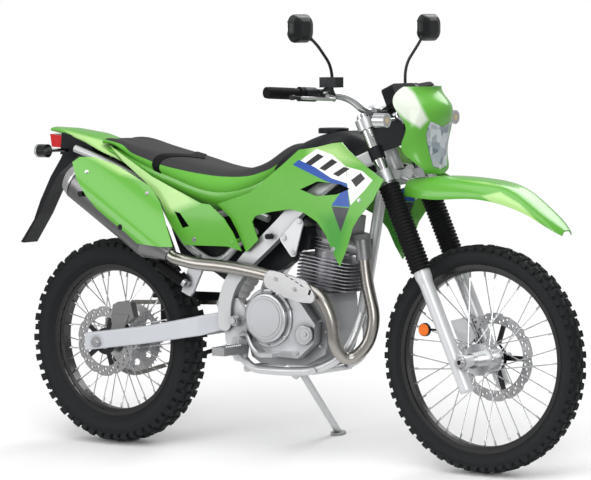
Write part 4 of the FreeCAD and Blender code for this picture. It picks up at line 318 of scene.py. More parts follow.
# Each has a colour, a roughness, how metallic it is, a grain scale and a bump
# Some of these also get painted shade in their creases
silver = paint("silverPaint", (0.62, 0.63, 0.64), 0.34, 0.55, 500, 0.04, crease=0.03)
finCast = paint("finCast", (0.37, 0.37, 0.40), 0.36, 0.75, 900, 0.15)
headCast = paint("headCast", (0.26, 0.26, 0.27), 0.40, 0.75, 900, 0.2)
darkCast = paint("darkCast", (0.22, 0.22, 0.22), 0.45, 0.7, 900, 0.25)
alloy = paint("satinAlloy", (0.60, 0.61, 0.63), 0.30, 0.85, 700, 0.06, crease=0.02)
castAlloy = paint("castAlloy", (0.37, 0.375, 0.385), 0.45, 0.8, 900, 0.25, crease=0.04)
steel = paint("machinedSteel", (0.56, 0.56, 0.57), 0.24, 1.0, 900, 0.04)
chainSteel = paint("chainSteel", (0.30, 0.29, 0.27), 0.34, 1.0, 900, 0.1, tint=0.3)
chrome = paint("chromePlate", (0.80, 0.80, 0.81), 0.07, 1.0, 400, 0.01, spread=0.04)
stainless = paint("headerSteel", (0.43, 0.41, 0.38), 0.28, 1.0, 600, 0.05, tint=0.35)
polished = paint("polishedShield", (0.72, 0.72, 0.73), 0.26, 0.9, 500, 0.03)
blackPlastic = paint("blackPlastic", (0.007, 0.008, 0.010), 0.45, 0.0, 1400, 0.22, shine=0.2)
rubber = paint("rubber", (0.004, 0.004, 0.005), 0.55, 0.0, 1000, 0.25, shine=0.14)
legPaint = paint("legPaint", (0.68, 0.69, 0.71), 0.32, 0.35, 700, 0.04, crease=0.015)
armPaint = paint("armPaint", (0.62, 0.64, 0.68), 0.36, 0.30, 700, 0.04, crease=0.02)
tyreRubber = paint("tyreRubber", (0.013, 0.015, 0.016), 0.70, 0.0, 800, 0.35, shine=0.2)
green = paint("greenPlastic", colors["green"], 0.24, 0.0, 700, 0.02, coat=0.25)
redLens = paint("redLens", (0.55, 0.01, 0.012), 0.12, 0.0, 400, 0.05)
springPaint = paint("springPaint", (0.70, 0.70, 0.70), 0.35)
brightBowl = paint("brightBowl", (0.70, 0.71, 0.73), 0.12, 1.0, 200, 0.05)
orange = paint("orangeReflector", (0.80, 0.16, 0.01), 0.2, 0.0, 600, 0.1)
mirrorGlass = paint("mirrorGlass", (0.70, 0.73, 0.76), 0.04, 1.0, 300, 0.0, spread=0.02, coat=0.5)
displayPaint = paint("displayPaint", (0.16, 0.19, 0.17), 0.12, 0.0, 300, 0.0, coat=0.6)

# Decals on the panels, with painted highlights and painted shade among them
# A layer is a colour, an edge sharpness and convex outlines, in the side view on the shrouds and as points of
# the picture on the other panels
decalsAndPaintedLight = {
    "shroudDecalsAndLight": [
        # Painted highlight: the shroud's top lighter
        ("paleHighlight", 22, [[(840, 915), (960, 905), (1010, 915), (940, 965), (830, 960)]]),
        ("white", crisp, [[(790, 902), (936, 861), (999, 848), (985, 897), (925, 930), (852, 948), (815, 918)],
                          [(999, 848), (1014, 782), (1068, 830), (1095, 860), (1050, 886), (985, 897)]]),
        ("blue", crisp, [[(775, 897), (912, 853), (936, 861), (864, 892), (796, 912)],
                         [(912, 853), (990, 834), (996, 848), (936, 861)],
                         [(942, 781), (1014, 779), (999, 848)]]),
        # Painted shade: the shroud's lower tip darker
        ("deepShade", 26, [[(905, 745), (930, 640), (955, 612), (985, 660), (1010, 740), (960, 760)]]),
        ("slate", crisp, [[(943, 779), (979, 704), (1012, 776)]]),
        ("ink", crisp, [[(824, 903), (848, 896), (893, 924), (868, 932)],
                        [(882, 889), (906, 882), (950, 909), (926, 918)],
                        [(938, 874), (962, 867), (1002, 891), (978, 896)],
                        [(1012, 858), (1034, 838), (1066, 864), (1046, 880)]]),
    ],
    "coverPrintAndHighlight": [
        # Pale band: partly the printed text area without its letters, partly a painted highlight
        ("paleHighlight", 40, [[(111, 142), (138, 158), (177, 181), (196, 203), (171, 212), (143, 192), (116, 172)]]),
    ],
    "guardPaintAndHighlight": [
        # Painted highlight: the guard's top lighter, fading to green
        ("paleHighlight", 60, [[(73, 159), (98, 154), (128, 162), (160, 184), (172, 202), (152, 192), (120, 174),
                       (88, 166)]]),
    ],
    "tailPaintAndHighlight": [
        # Painted highlight: a pale band across the tail
        ("paleHighlight", 120, [[(56, 128), (112, 143), (124, 172), (104, 158), (70, 142), (60, 136)]]),
    ],
    "cowlPaintAndHighlight": [
        # Painted highlight on one facet of the cowl
        ("mistHighlight", 90, [[(404, 84), (414, 93), (428, 120), (420, 128), (404, 118), (388, 103), (392, 93)]]),
    ],
    "fenderPaintAndHighlight": [
        # Painted highlights on two facets of the fender
        ("paleHighlight", 160, [[(482, 196), (500, 192), (520, 204), (548, 232), (534, 229), (508, 213)],
                       [(417, 177), (470, 176), (507, 181), (524, 192), (500, 186), (468, 181)]]),
    ],
}


def decalsAndLightMaterial(name, makeMask):
    # Green panel with its decals, painted highlights and painted shade laid over it
    material, tree, shader, tone = finish(name, colors["green"], 0.26, 0.0, 300, 0.004, coat=0.2)
    for color, sharpness, outlines in decalsAndPaintedLight[name]:
        for corners in outlines:
            tone = mixColor(tree, makeMask(tree, corners, sharpness), tone, colors[color])
    tree.links.new(tone, shader.inputs["Base Color"])
    return material


panels = {name: decalsAndLightMaterial(name, sidePatch if name == "shroudDecalsAndLight" else sightPatch) for name in decalsAndPaintedLight}

# Both wheels: a hub as (x, z), tyre sizes, then where the black rim, the nipples and the disc's parts lie
wheels = {
    "front": {"hub": (1370, 336), "radius": 336, "width": 76, "bead": 269, "rim": 48, "steps": 66,
              "blockLength": 23, "blockWidth": 20, "blockHeight": 7, "shoulderReach": 31,
              "rimStart": 255.5, "nipples": 249, "carrier": 98.5, "holes": 20, "holeRings": (106, 113, 120)},
    "rear": {"hub": (0, hubHeight), "radius": 322, "width": 106, "bead": 231, "rim": 62, "steps": 58,
             "blockLength": 25, "blockWidth": 27, "blockHeight": 9, "shoulderReach": 43,
             "rimStart": 217.5, "nipples": 211, "carrier": 77.5, "holes": 18, "holeRings": (87, 94, 101)},
}
drill = {"radius": 3.8, "shifts": (0, 0.33, 0.66), "carrierColor": (0.05, 0.05, 0.055)}


def turnPlace(tree, key):
    # Distance from a wheel's axle and angle round it, in the side view
    x, z = wheels[key]["hub"]
    place = bikePlace(tree)
    return useGroup(tree, polar, place[0], place[2], x / 1000, z / 1000)


def rimMaterial(key):
    # Black rim, bright spokes and hub inside it
    material, tree, shader, tone = finish(key + "Rim", (0.70, 0.71, 0.72), 0.25, 1.0, 700, 0.04)
    mask = mathNode(tree, "GREATER_THAN", turnPlace(tree, key)["Reach"], wheels[key]["rimStart"] / 1000)
    tree.links.new(mixColor(tree, mask, tone, colors["rim"]), shader.inputs["Base Color"])
    tree.links.new(mathNode(tree, "SUBTRACT", 1.0, mask), shader.inputs["Metallic"])
    return material


def discMaterial(key):
    # Bright disc with rings of drilled holes, on a dark carrier
    values = wheels[key]
    material, tree, shader, tone = finish(key + "DiscSteel", (0.50, 0.50, 0.51), 0.26, 1.0, 1200, 0.05)
    wheelPlace = turnPlace(tree, key)
    clearOf = []
    for ring, shift in zip(values["holeRings"], drill["shifts"]):
        share = mathNode(tree, "MULTIPLY_ADD", wheelPlace["Angle"], values["holes"] / math.tau, shift)
        apart = mathNode(tree, "SUBTRACT", mathNode(tree, "FRACT", share), 0.5)
        sideways = mathNode(tree, "MULTIPLY", apart, math.tau * ring / 1000 / values["holes"])
        hole = useGroup(tree, polar, sideways, wheelPlace["Reach"], 0.0, ring / 1000)
        clearOf.append(mathNode(tree, "GREATER_THAN", hole["Reach"], drill["radius"] / 1000))
    tree.links.new(lowest(tree, clearOf), shader.inputs["Alpha"])
    inside = mathNode(tree, "LESS_THAN", wheelPlace["Reach"], values["carrier"] / 1000)
    tree.links.new(mixColor(tree, inside, tone, drill["carrierColor"]), shader.inputs["Base Color"])
    return material


signals = {
    "front": {"y": 182, "z": 1036, "lensStart": 1140, "facing": 1, "shell": (0.60, 0.61, 0.62)},
    "rear": {"y": 165, "z": 922, "lensStart": -182, "facing": -1, "shell": (0.010, 0.011, 0.012)},
}
signalFace = {"rays": 18, "rayColor": (0.30, 0.29, 0.26), "amberReach": 8.5, "amber": (0.80, 0.62, 0.36),
              "rimReach": 17.8, "rim": (0.60, 0.62, 0.63), "coat": 0.8}


def signalMaterial(key):
    # A shell, and a bright ribbed bowl with a rim and an amber middle
    values = signals[key]
    material, tree, shader, tone = finish(key + "Signal", (0.66, 0.67, 0.68), 0.14, 0.7, 500, 0.05)
    place = bikePlace(tree)
    outward = mathNode(tree, "ABSOLUTE", place[1])
    bowl = useGroup(tree, polar, outward, place[2], values["y"] / 1000, values["z"] / 1000)
    rays = mathNode(tree, "SINE", mathNode(tree, "MULTIPLY", bowl["Angle"], signalFace["rays"]))
    face = mixColor(tree, mathNode(tree, "MULTIPLY_ADD", rays, 0.5, 0.5), tone, signalFace["rayColor"])
    middle = mathNode(tree, "LESS_THAN", bowl["Reach"], signalFace["amberReach"] / 1000)
    face = mixColor(tree, middle, face, signalFace["amber"])
    rim = mathNode(tree, "GREATER_THAN", bowl["Reach"], signalFace["rimReach"] / 1000)
    face = mixColor(tree, rim, face, signalFace["rim"])
    lens = aheadOf(tree, values["lensStart"])
    if values["facing"] < 0:
        lens = mathNode(tree, "SUBTRACT", 1.0, lens)
    tree.links.new(mixColor(tree, lens, values["shell"], face), shader.inputs["Base Color"])
    shader.inputs["Coat Weight"].default_value = signalFace["coat"]
    return material


facetLook = {"cells": 46, "low": (0.16, 0.22, 0.28), "high": (0.86, 0.91, 0.95), "strength": 0.7,
             "depth": 0.004}


def facetMaterial():
    # Cut glass look: cells of pale and slate blue with a sharp relief
    material, tree, shader, _ = finish("lampFacets", (0.6, 0.6, 0.6), 0.08, 0.55, 300, 0.0, coat=1.0)
    coords = tree.nodes.new("ShaderNodeTexCoord")
    cells = tree.nodes.new("ShaderNodeTexVoronoi")
    cells.inputs["Scale"].default_value = facetLook["cells"]
    tree.links.new(coords.outputs["Object"], cells.inputs["Vector"])
    split = tree.nodes.new("ShaderNodeSeparateColor")
    tree.links.new(cells.outputs["Color"], split.inputs[0])
    tone = mixColor(tree, split.outputs[0], facetLook["low"], facetLook["high"])
    tree.links.new(tone, shader.inputs["Base Color"])
    bumpNode(tree, shader, cells.outputs["Distance"], facetLook["strength"], facetLook["depth"])
    return material


mirrorLook = {"glassStart": 948, "glass": (0.72, 0.75, 0.78), "polish": 0.9}


def mirrorMaterial():
    # Black shell with a mirror glass on the rider's side
    material, tree, shader, tone = finish("mirrorShell", (0.008, 0.009, 0.010), 0.30, 0.0, 1400, 0.1, shine=0.3)
    glass = mathNode(tree, "SUBTRACT", 1.0, aheadOf(tree, mirrorLook["glassStart"]))
    tree.links.new(mixColor(tree, glass, tone, mirrorLook["glass"]), shader.inputs["Base Color"])
    tree.links.new(glass, shader.inputs["Metallic"])
    rough = shader.inputs["Roughness"].links[0].from_socket
    share = mathNode(tree, "MULTIPLY_ADD", glass, -mirrorLook["polish"], 1.0)
    tree.links.new(mathNode(tree, "MULTIPLY", rough, share), shader.inputs["Roughness"])
    return material


silencerLook = {"cap": ((-37, 797), (-4, 850)), "capColor": (0.55, 0.55, 0.56),
                "seam": ((-33, 794), (0, 847)), "seamColor": (0.02, 0.02, 0.02)}


def silencerMaterial():
    # Satin body, a brighter end cap and a dark seam between them
    material, tree, shader, tone = finish("silencerSteel", (0.22, 0.22, 0.225), 0.36, 1.0, 900, 0.08)
    place = useGroup(tree, bikeSpace)["Place"]
    for key in ("seam", "cap"):
        mask = halfPlane(tree, place, *silencerLook[key], crisp)
        tone = mixColor(tree, mask, tone, silencerLook[key + "Color"])
    tree.links.new(tone, shader.inputs["Base Color"])
    return material


leverLook = {"start": 966, "inner": 215, "top": 1119, "color": (0.6, 0.6, 0.61)}


def leverMaterial():
    # Black perches and housings, bright levers ahead of the grips
    material, tree, shader, tone = finish("controls", (0.010, 0.011, 0.013), 0.40, 0.0, 1400, 0.2, shine=0.3)
    place = bikePlace(tree)
    outward = mathNode(tree, "GREATER_THAN", mathNode(tree, "ABSOLUTE", place[1]), leverLook["inner"] / 1000)
    below = mathNode(tree, "LESS_THAN", place[2], leverLook["top"] / 1000)
    mask = lowest(tree, [aheadOf(tree, leverLook["start"]), outward, below])
    tree.links.new(mixColor(tree, mask, tone, leverLook["color"]), shader.inputs["Base Color"])
    tree.links.new(mask, shader.inputs["Metallic"])
    return material


mirrorShell = mirrorMaterial()
finishes = {
    "main_frame": silver, "subframe": silver, "side_stand": silver,
    "pivot_bolt": steel, "drive_sprocket": steel, "rear_axle": steel, "front_axle": steel, "drive_chain": steel,
    "rear_sprocket": steel, "front_disc": discMaterial("front"), "rear_disc": discMaterial("rear"),
    "crankcase": castAlloy, "footpegs": castAlloy, "cylinder": finCast, "cylinder_head": headCast,
    "engine_covers": alloy, "passenger_pegs": alloy, "foot_controls": alloy, "steering_clamps": alloy,
    "front_caliper": alloy, "handlebar": alloy, "rear_caliper": darkCast, "swingarm": armPaint,
    "fork_sliders": legPaint, "fork_tubes": chrome, "exhaust_header": stainless, "header_shield": polished,
    "silencer": silencerMaterial(), "silencer_guard": panels["guardPaintAndHighlight"], "shock_absorber": springPaint,
    "airbox": blackPlastic, "chain_guard": blackPlastic, "fuel_tank": blackPlastic, "fuel_cap": blackPlastic,
    "plate_hanger": blackPlastic, "instrument": blackPlastic, "lamp_brackets": blackPlastic,
    "seat": blackPlastic, "bar_controls": leverMaterial(), "mirrors": mirrorShell,
    "shrouds": panels["shroudDecalsAndLight"], "side_covers": panels["coverPrintAndHighlight"], "rear_fender": panels["tailPaintAndHighlight"],
    "headlamp_cowl": panels["cowlPaintAndHighlight"], "front_fender": panels["fenderPaintAndHighlight"],
    "tail_lamp": redLens, "rear_signals": signalMaterial("rear"),
    "front_signals": signalMaterial("front"), "headlamp_lens": facetMaterial(), "headlamp_body": brightBowl,
    "fork_boots": rubber, "grips": rubber, "front_tyre": tyreRubber, "rear_tyre": tyreRubber,
    "front_spoked_wheel": rimMaterial("front"), "rear_spoked_wheel": rimMaterial("rear"),
}
for name, obj in nodes.items():
    obj.data.materials.clear()
    obj.data.materials.append(finishes[name])
print("CAD nodes dressed")


# Mesh helpers
def addMesh(mesh, material, body):
    obj = bpy.data.objects.new(mesh.name, mesh)
    bpy.context.scene.collection.objects.link(obj)
    mesh.materials.append(material)
    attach(obj, body)
    return obj


def meshOf(bm, name, smooth=False):
    bmesh.ops.recalc_face_normals(bm, faces=bm.faces)
    mesh = bpy.data.meshes.new(name)
    bm.to_mesh(mesh)
    bm.free()
    for face in mesh.polygons:
        face.use_smooth = smooth
    return mesh


def addPiece(bm, name, material, body, smooth=False):
    return addMesh(meshOf(bm, name, smooth), material, body)


def wholeOf(bm):
    return list(bm.verts) + list(bm.edges) + list(bm.faces)


def turned(bm, outline, axis, steps):
    # Spins an open outline of points in metres; returns the new vertices
    before = set(bm.verts)
    verts = [bm.verts.new(point) for point in outline]
    edges = [bm.edges.new(pair) for pair in zip(verts, verts[1:])]
    bmesh.ops.spin(bm, geom=verts + edges, cent=(0, 0, 0), axis=axis, angle=math.tau, steps=steps,
                   use_merge=True, use_duplicate=False)
    return [v for v in bm.verts if v not in before]


def raised(bm, vec):
    # Extrudes every face by a vector in metres; returns the moved vertices
    grown = bmesh.ops.extrude_face_region(bm, geom=bm.faces[:])
    lifted = [item for item in grown["geom"] if isinstance(item, bmesh.types.BMVert)]
    bmesh.ops.translate(bm, vec=vec, verts=lifted)
    return lifted


def merge(bm, part):
    bmesh.ops.recalc_face_normals(part, faces=part.faces)
    held = bpy.data.meshes.new("held")
    part.to_mesh(held)
    part.free()
    bm.from_mesh(held)
    bpy.data.meshes.remove(held)


def upTo(way):
    return Vector((0, 0, 1)).rotation_difference(way.normalized()).to_matrix().to_4x4()


def rodBetween(bm, start, end, radius, segments=24, endRadius=None):
    first, second = spot(*start), spot(*end)
    way = second - first
    verts = bmesh.ops.create_cone(bm, cap_ends=True, segments=segments, radius1=radius / 1000,
                                  radius2=(radius if endRadius is None else endRadius) / 1000,
                                  depth=way.length)["verts"]
    bmesh.ops.transform(bm, matrix=Matrix.Translation((first + second) / 2) @ upTo(way), verts=verts)


def plate(bm, outline, yFrom, yTo, corner, edge):
    # Flat plate with rounded corners and a soft outer edge, between two y places
    part = bmesh.new()
    part.faces.new([part.verts.new((x / 1000, yFrom / 1000, z / 1000)) for x, z in outline])
    bmesh.ops.bevel(part, geom=part.verts[:], offset=corner / 1000, segments=4, profile=0.5, affect="VERTICES",
                    material=-1)
    lifted = raised(part, (0, (yTo - yFrom) / 1000, 0))
    rim = [item for item in part.edges if item.verts[0] in lifted and item.verts[1] in lifted]
    bmesh.ops.bevel(part, geom=rim, offset=edge / 1000, segments=2, profile=0.5, affect="EDGES", material=-1)
    bmesh.ops.transform(part, matrix=bikeMatrix(), verts=part.verts)
    merge(bm, part)


ribbing = {"flatShares": (0.25, 0.75), "turnSteps": 28}


def sleeve(bm, start, end, radius, inner, rib, count):
    # Tube of ribs between two places
    first, second = spot(*start), spot(*end)
    way = second - first
    pitch = way.length / count
    outline = [(inner / 1000, 0, 0)]
    for index in range(count):
        base = pitch * index
        outline.append(((radius - rib) / 1000, 0, base))
        outline += [(radius / 1000, 0, base + pitch * share) for share in ribbing["flatShares"]]
    outline += [((radius - rib) / 1000, 0, way.length), (inner / 1000, 0, way.length)]
    part = bmesh.new()
    turned(part, outline, (0, 0, 1), ribbing["turnSteps"])
    bmesh.ops.transform(part, matrix=Matrix.Translation(first) @ upTo(way), verts=part.verts)
    merge(bm, part)


# Tyres: a turned carcass with rows of blocks
tread = {"rimGap": 4, "beadSteps": ((0, 1), (3, 10)), "crownShare": 0.25, "crown": 0.6, "turnSteps": 128,
         "wallShares": ((0.90, 0.36), (0.95, 0.58), (0.86, 0.80), (0.60, 0.95)),
         "depthShare": 1.9, "topShare": 0.86, "edge": 1.1,
         "middle": {"widthShare": 0.95, "drop": 0.3},
         "pair": {"placeShare": 0.62, "tilt": 0.16, "widthShare": 0.8, "drop": 1.4},
         "shoulder": {"turnShare": 0.12, "tilt": 0.85, "lengthShares": (0.7, 0.86), "widthShares": (0.62, 0.85),
                      "dropShare": 1.05}}


def carcass(values):
    bm = bmesh.new()
    half = values["width"] / 2
    top = values["radius"] - values["blockHeight"]
    depth = top - values["bead"]
    rimHalf = values["rim"] / 2 - tread["rimGap"]
    outline = [(rimHalf + out, values["bead"] + up) for out, up in tread["beadSteps"]]
    outline += [(half * wide, values["bead"] + depth * high) for wide, high in tread["wallShares"]]
    outline += [(half * tread["crownShare"], top), (0, top + tread["crown"])]
    outline += [(-side, radius) for side, radius in reversed(outline[:-1])]
    turned(bm, [(radius / 1000, side / 1000, 0) for side, radius in outline], (0, 1, 0), tread["turnSteps"])
    return bm


def block(bm, turn, side, tilt, depth, length, width, reach):
    # One tread block, its top at the given reach from the axle; returns the edges round its top
    verts = bmesh.ops.create_cube(bm, size=1)["verts"]
    bmesh.ops.scale(bm, vec=(depth / 1000, width / 1000, length / 1000), verts=verts)
    top = [v for v in verts if v.co.x > 0]
    bmesh.ops.scale(bm, vec=(1, tread["topShare"], tread["topShare"]), verts=top)
    lean = Matrix.Rotation(tilt, 4, "Z")
    shift = Matrix.Translation(((reach - depth / 2) / 1000, side / 1000, 0))
    bmesh.ops.transform(bm, matrix=Matrix.Rotation(turn, 4, "Y") @ shift @ lean, verts=verts)
    edges = {edge for v in top for edge in v.link_edges}
    return [edge for edge in edges if edge.verts[0] in top and edge.verts[1] in top]


def makeTyre(key):
    values = wheels[key]
    middle, pair, shoulder = tread["middle"], tread["pair"], tread["shoulder"]
    bm = carcass(values)
    step = math.tau / values["steps"]
    length, width, radius = values["blockLength"], values["blockWidth"], values["radius"]
    depth = values["blockHeight"] * tread["depthShare"]
    rims = []
    for index in range(values["steps"]):
        turn = step * index
        odd = index % 2
        if odd:
            rims += block(bm, turn, 0, 0, depth, length, width * middle["widthShare"], radius - middle["drop"])
        for way in (-1, 1):
            if not odd:
                rims += block(bm, turn, way * width * pair["placeShare"], -way * pair["tilt"], depth, length,
                              width * pair["widthShare"], radius - pair["drop"])
            rims += block(bm, turn + step * shoulder["turnShare"] * way, way * values["shoulderReach"],
                          -way * shoulder["tilt"], depth, length * shoulder["lengthShares"][odd],
                          width * shoulder["widthShares"][odd],
                          radius - values["blockHeight"] * shoulder["dropShare"])
    bmesh.ops.bevel(bm, geom=rims, offset=tread["edge"] / 1000, segments=1, profile=0.5, affect="EDGES",
                    material=-1)
    bmesh.ops.transform(bm, matrix=bikeMatrix(values["hub"][0], 0, values["hub"][1]), verts=bm.verts)
    piece = addPiece(bm, key + "TyreTread", tyreRubber, key + "_wheel")
    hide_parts(key + "_tyre")


for key in wheels:
    makeTyre(key)
print("tyres made")


# Soft and smooth pieces made from a copy of a solid; the weld is in metres
soften = {"weld": 0.00002, "relax": 0.5}


def softened(node, name, voxel, passes):
    # The solid's loose triangles welded, remeshed and relaxed
    obj = bpy.data.objects.new(name + "Raw", nodes[node].data.copy())
    obj.data.materials.clear()
    bpy.context.scene.collection.objects.link(obj)
    weld = obj.modifiers.new("weld", "WELD")
    weld.merge_threshold = soften["weld"]
    remesh = obj.modifiers.new("remesh", "REMESH")
    remesh.mode = "VOXEL"
    remesh.voxel_size = voxel
    relax = obj.modifiers.new("relax", "SMOOTH")
    relax.factor = soften["relax"]
    relax.iterations = passes
    shaped = bpy.data.meshes.new_from_object(obj.evaluated_get(bpy.context.evaluated_depsgraph_get()))
    shaped.name = name
    bpy.data.objects.remove(obj)
    for face in shaped.polygons:
        face.use_smooth = True
    return shaped


# The seam is where the green starts, as points of the picture; the ends carry it on past the pad
seatLook = {"voxel": 0.005, "passes": 10, "panDrop": 30, "panShare": 0.97,
            "seam": [(118, 143), (132, 153), (146, 159), (160, 164.5), (177, 169), (202, 174), (222, 176.5),
                     (244, 176.5), (261, 172.5), (278, 164), (292, 153)],
            "seamStep": 6, "seamEnds": ((-120, 14), (130, 80))}
strap = {"top": (293, 345), "low": (238, 268), "half": 110, "lean": 0.05, "height": 900, "floor": 842,
         "thick": 2.5, "join": 0.4}

seatPiece = addMesh(softened("seat", "seatPad", seatLook["voxel"], seatLook["passes"]), blackPlastic, "chassis")
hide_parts("seat")
bpy.context.view_layer.update()


def seamPoints():
    # Where the colour line seen from the camera meets the pad, in the side view
    start = spot(*shot["place"])
    points = []
    for u, v in seatLook["seam"]:
        hit, place, normal, _ = seatPiece.ray_cast(start, bikeTurn @ sightWay(u, v))
        if hit:
            local = bikeTurn.transposed() @ (place - bikeOrigin) * 1000
            if not points or local.x > points[-1][0] + seatLook["seamStep"]:
                points.append((local.x, local.z))
    first, last = ((x + ends[0], z + ends[1])
                   for (x, z), ends in zip((points[0], points[-1]), seatLook["seamEnds"]))
    return [first] + points + [last]


def skyline(tree, place, points):
    # 1 above a line of (x, z) points in the side view
    share = tree.nodes.new("ShaderNodeMapRange")
    share.inputs["From Min"].default_value = points[0][0] / 1000
    share.inputs["From Max"].default_value = points[-1][0] / 1000
    tree.links.new(place[0], share.inputs["Value"])
    curve = tree.nodes.new("ShaderNodeFloatCurve")
    low, high = min(z for x, z in points), max(z for x, z in points)
    line = curve.mapping.curves[0]
    span = points[-1][0] - points[0][0]
    shares = [((x - points[0][0]) / span, (z - low) / (high - low)) for x, z in points]
    line.points[0].location = shares[0]
    line.points[-1].location = shares[-1]
    for spotIn in shares[1:-1]:
        line.points.new(*spotIn)
    curve.mapping.update()
    tree.links.new(share.outputs["Result"], curve.inputs["Value"])
    height = mathNode(tree, "MULTIPLY_ADD", curve.outputs["Value"], (high - low) / 1000, low / 1000)
    return mathNode(tree, "MULTIPLY_ADD", mathNode(tree, "SUBTRACT", place[2], height), crisp, 0.5, clamp=True)


def seatMaterial():
    # Grained cover, dark above and green below the seam line
    material, tree, shader, tone = finish("seatCover", colors["seatTop"], 0.55, 0.0, 1600, 0.5, shine=0.3)
    mask = skyline(tree, bikePlace(tree), seamPoints())
    tree.links.new(mixColor(tree, mask, colors["green"], tone), shader.inputs["Base Color"])
    return material


def cutAway(bm, place, normal):
    # Drops what lies on the side that the normal points to
    bmesh.ops.bisect_plane(bm, geom=wholeOf(bm), plane_co=place, plane_no=normal, clear_outer=True)


def makeStrap():
    # A band over the seat, cut from the pad's own skin and thickened
    bm = bmesh.new()
    bm.from_mesh(seatPiece.data)
    bmesh.ops.transform(bm, matrix=bikeMatrix().inverted(), verts=bm.verts)
    cutAway(bm, (0, 0, 0), (0, 1, 0))
    for top, low, outer in zip(strap["top"], strap["low"], (-1, 1)):
        slope = Vector((top - low, strap["half"], 0)) / 1000
        normal = slope.cross(Vector((strap["lean"], 0, 1))).normalized()
        normal = normal if normal.x * outer > 0 else -normal
        cutAway(bm, (top / 1000, 0, strap["height"] / 1000), normal)
    cutAway(bm, (0, 0, strap["floor"] / 1000), (0, 0, -1))
    bmesh.ops.mirror(bm, geom=wholeOf(bm), axis="Y", merge_dist=strap["join"] / 1000)
    bmesh.ops.recalc_face_normals(bm, faces=bm.faces)
    for v in bm.verts:
        v.co += v.normal * strap["thick"] / 1000
    bmesh.ops.solidify(bm, geom=bm.faces[:], thickness=strap["thick"] / 1000)
    bmesh.ops.transform(bm, matrix=bikeMatrix(), verts=bm.verts)
    addPiece(bm, "seatStrap", rubber, "chassis", True)


def makePan():
    # The green base under the pad: the pad's own form, lower and a little narrower
    mesh = seatPiece.data.copy()
    mesh.name = "seatPan"
    mesh.materials.clear()
    lower = Matrix.Translation((0, 0, -seatLook["panDrop"] / 1000))
    narrow = Matrix.Diagonal((1, seatLook["panShare"], 1, 1))
    mesh.transform(bikeMatrix() @ narrow @ lower @ bikeMatrix().inverted())
    addMesh(mesh, green, "chassis")


seatPiece.data.materials[0] = seatMaterial()
makeStrap()
makePan()

tailShape = {"voxel": 0.003, "passes": 14}
tailPiece = addMesh(softened("rear_fender", "tailShell", **tailShape), panels["tailPaintAndHighlight"], "chassis")
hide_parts("rear_fender")
mirrorShape = {"voxel": 0.0026, "passes": 6}
mirrorPiece = addMesh(softened("mirrors", "mirrorShells", **mirrorShape), mirrorShell, "steering")
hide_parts("mirrors")
print("seat, strap, tail and mirrors made")

# Fork boots with fine ribs; low and high are places along the leg from beside the axle
boots = {"low": 298.6, "high": 573.6, "radius": 32, "fold": 4.6, "crest": 0.8, "crestShares": (0.28, 0.5, 0.72),
         "ribs": 25, "inner": 18.8, "spread": 98, "rake": 24.8, "axleLead": 31,
         "turnSteps": 40}


def legPlace(rise, side):
    rake = math.radians(boots["rake"])
    forkWay = Vector((-math.sin(rake), 0, math.cos(rake)))
    forkLead = Vector((math.cos(rake), 0, math.sin(rake)))
    x, z = wheels["front"]["hub"]
    center = Vector((x, side * boots["spread"], z)) - forkLead * boots["axleLead"] + forkWay * rise
    return bikeMatrix(*center) @ Matrix((forkLead, (0, 1, 0), forkWay)).transposed().to_4x4()


def makeBoots():
    bm = bmesh.new()
    pitch = (boots["high"] - boots["low"]) / boots["ribs"]
    outer, valley, crest = boots["radius"], boots["radius"] - boots["fold"], boots["radius"] - boots["crest"]
    rising, top, falling = boots["crestShares"]
    outline = [(boots["inner"], 0)]
    for index in range(boots["ribs"]):
        base = pitch * index
        outline += [(valley, base), (crest, base + pitch * rising), (outer, base + pitch * top),
                    (crest, base + pitch * falling)]
    outline += [(valley, pitch * boots["ribs"]), (boots["inner"], pitch * boots["ribs"])]
    for side in (-1, 1):
        fresh = turned(bm, [(radius / 1000, 0, height / 1000) for radius, height in outline], (0, 0, 1),
                       boots["turnSteps"])
        bmesh.ops.transform(bm, matrix=legPlace(boots["low"], side), verts=fresh)
    piece = addPiece(bm, "forkGaiters", rubber, "steering", True)
    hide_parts("fork_boots")


makeBoots()
print("boots made")

# Chain of plates and rollers; a roller or pin is its radius, its place across and half its length
chain = {"front": (618, 425), "pitch": 15.875, "frontTeeth": 14, "rearTeeth": 45, "line": 72,
         "plate": 6.6, "wall": 1.5, "plateLines": (4.9, 6.6), "roller": (4.6, 0, 4.4), "pin": (2.2, 0, 9.4),
         "pinEnds": ((2.2, 7.1, 2.3), (2.2, -7.1, 2.3)), "rollerClearance": 16,
         "plateSides": 12, "pinSides": 10, "arcSteps": 60}


def pitchRadius(key):
    return chain["pitch"] / 2 / math.sin(math.pi / chain[key + "Teeth"])


def chainPath():
    # Points one pitch apart round both sprockets, in the side view
    rear, front = Vector(wheels["rear"]["hub"]), Vector(chain["front"])
    rearReach, frontReach = pitchRadius("rear"), pitchRadius("front")
    span = front - rear
    slope = math.atan2(span.y, span.x)
    spread = math.asin((rearReach - frontReach) / span.length)
    top, low = slope + math.pi / 2 - spread, slope - math.pi / 2 + spread
    fine = []
    for center, reach, start, end in ((front, frontReach, top, low), (rear, rearReach, low, top - math.tau)):
        for index in range(chain["arcSteps"] + 1):
            turn = start + (end - start) * index / chain["arcSteps"]
            fine.append(center + Vector((math.cos(turn), math.sin(turn))) * reach)
    fine.append(fine[0])
    lengths = [0]
    for first, second in zip(fine, fine[1:]):
        lengths.append(lengths[-1] + (second - first).length)
    count = round(lengths[-1] / chain["pitch"] / 2) * 2
    pins = []
    seek = 0
    for index in range(count):
        reach = lengths[-1] * index / count
        while lengths[seek + 1] < reach:
            seek += 1
        share = (reach - lengths[seek]) / max(lengths[seek + 1] - lengths[seek], 1e-9)
        pins.append(fine[seek].lerp(fine[seek + 1], share))
    return pins


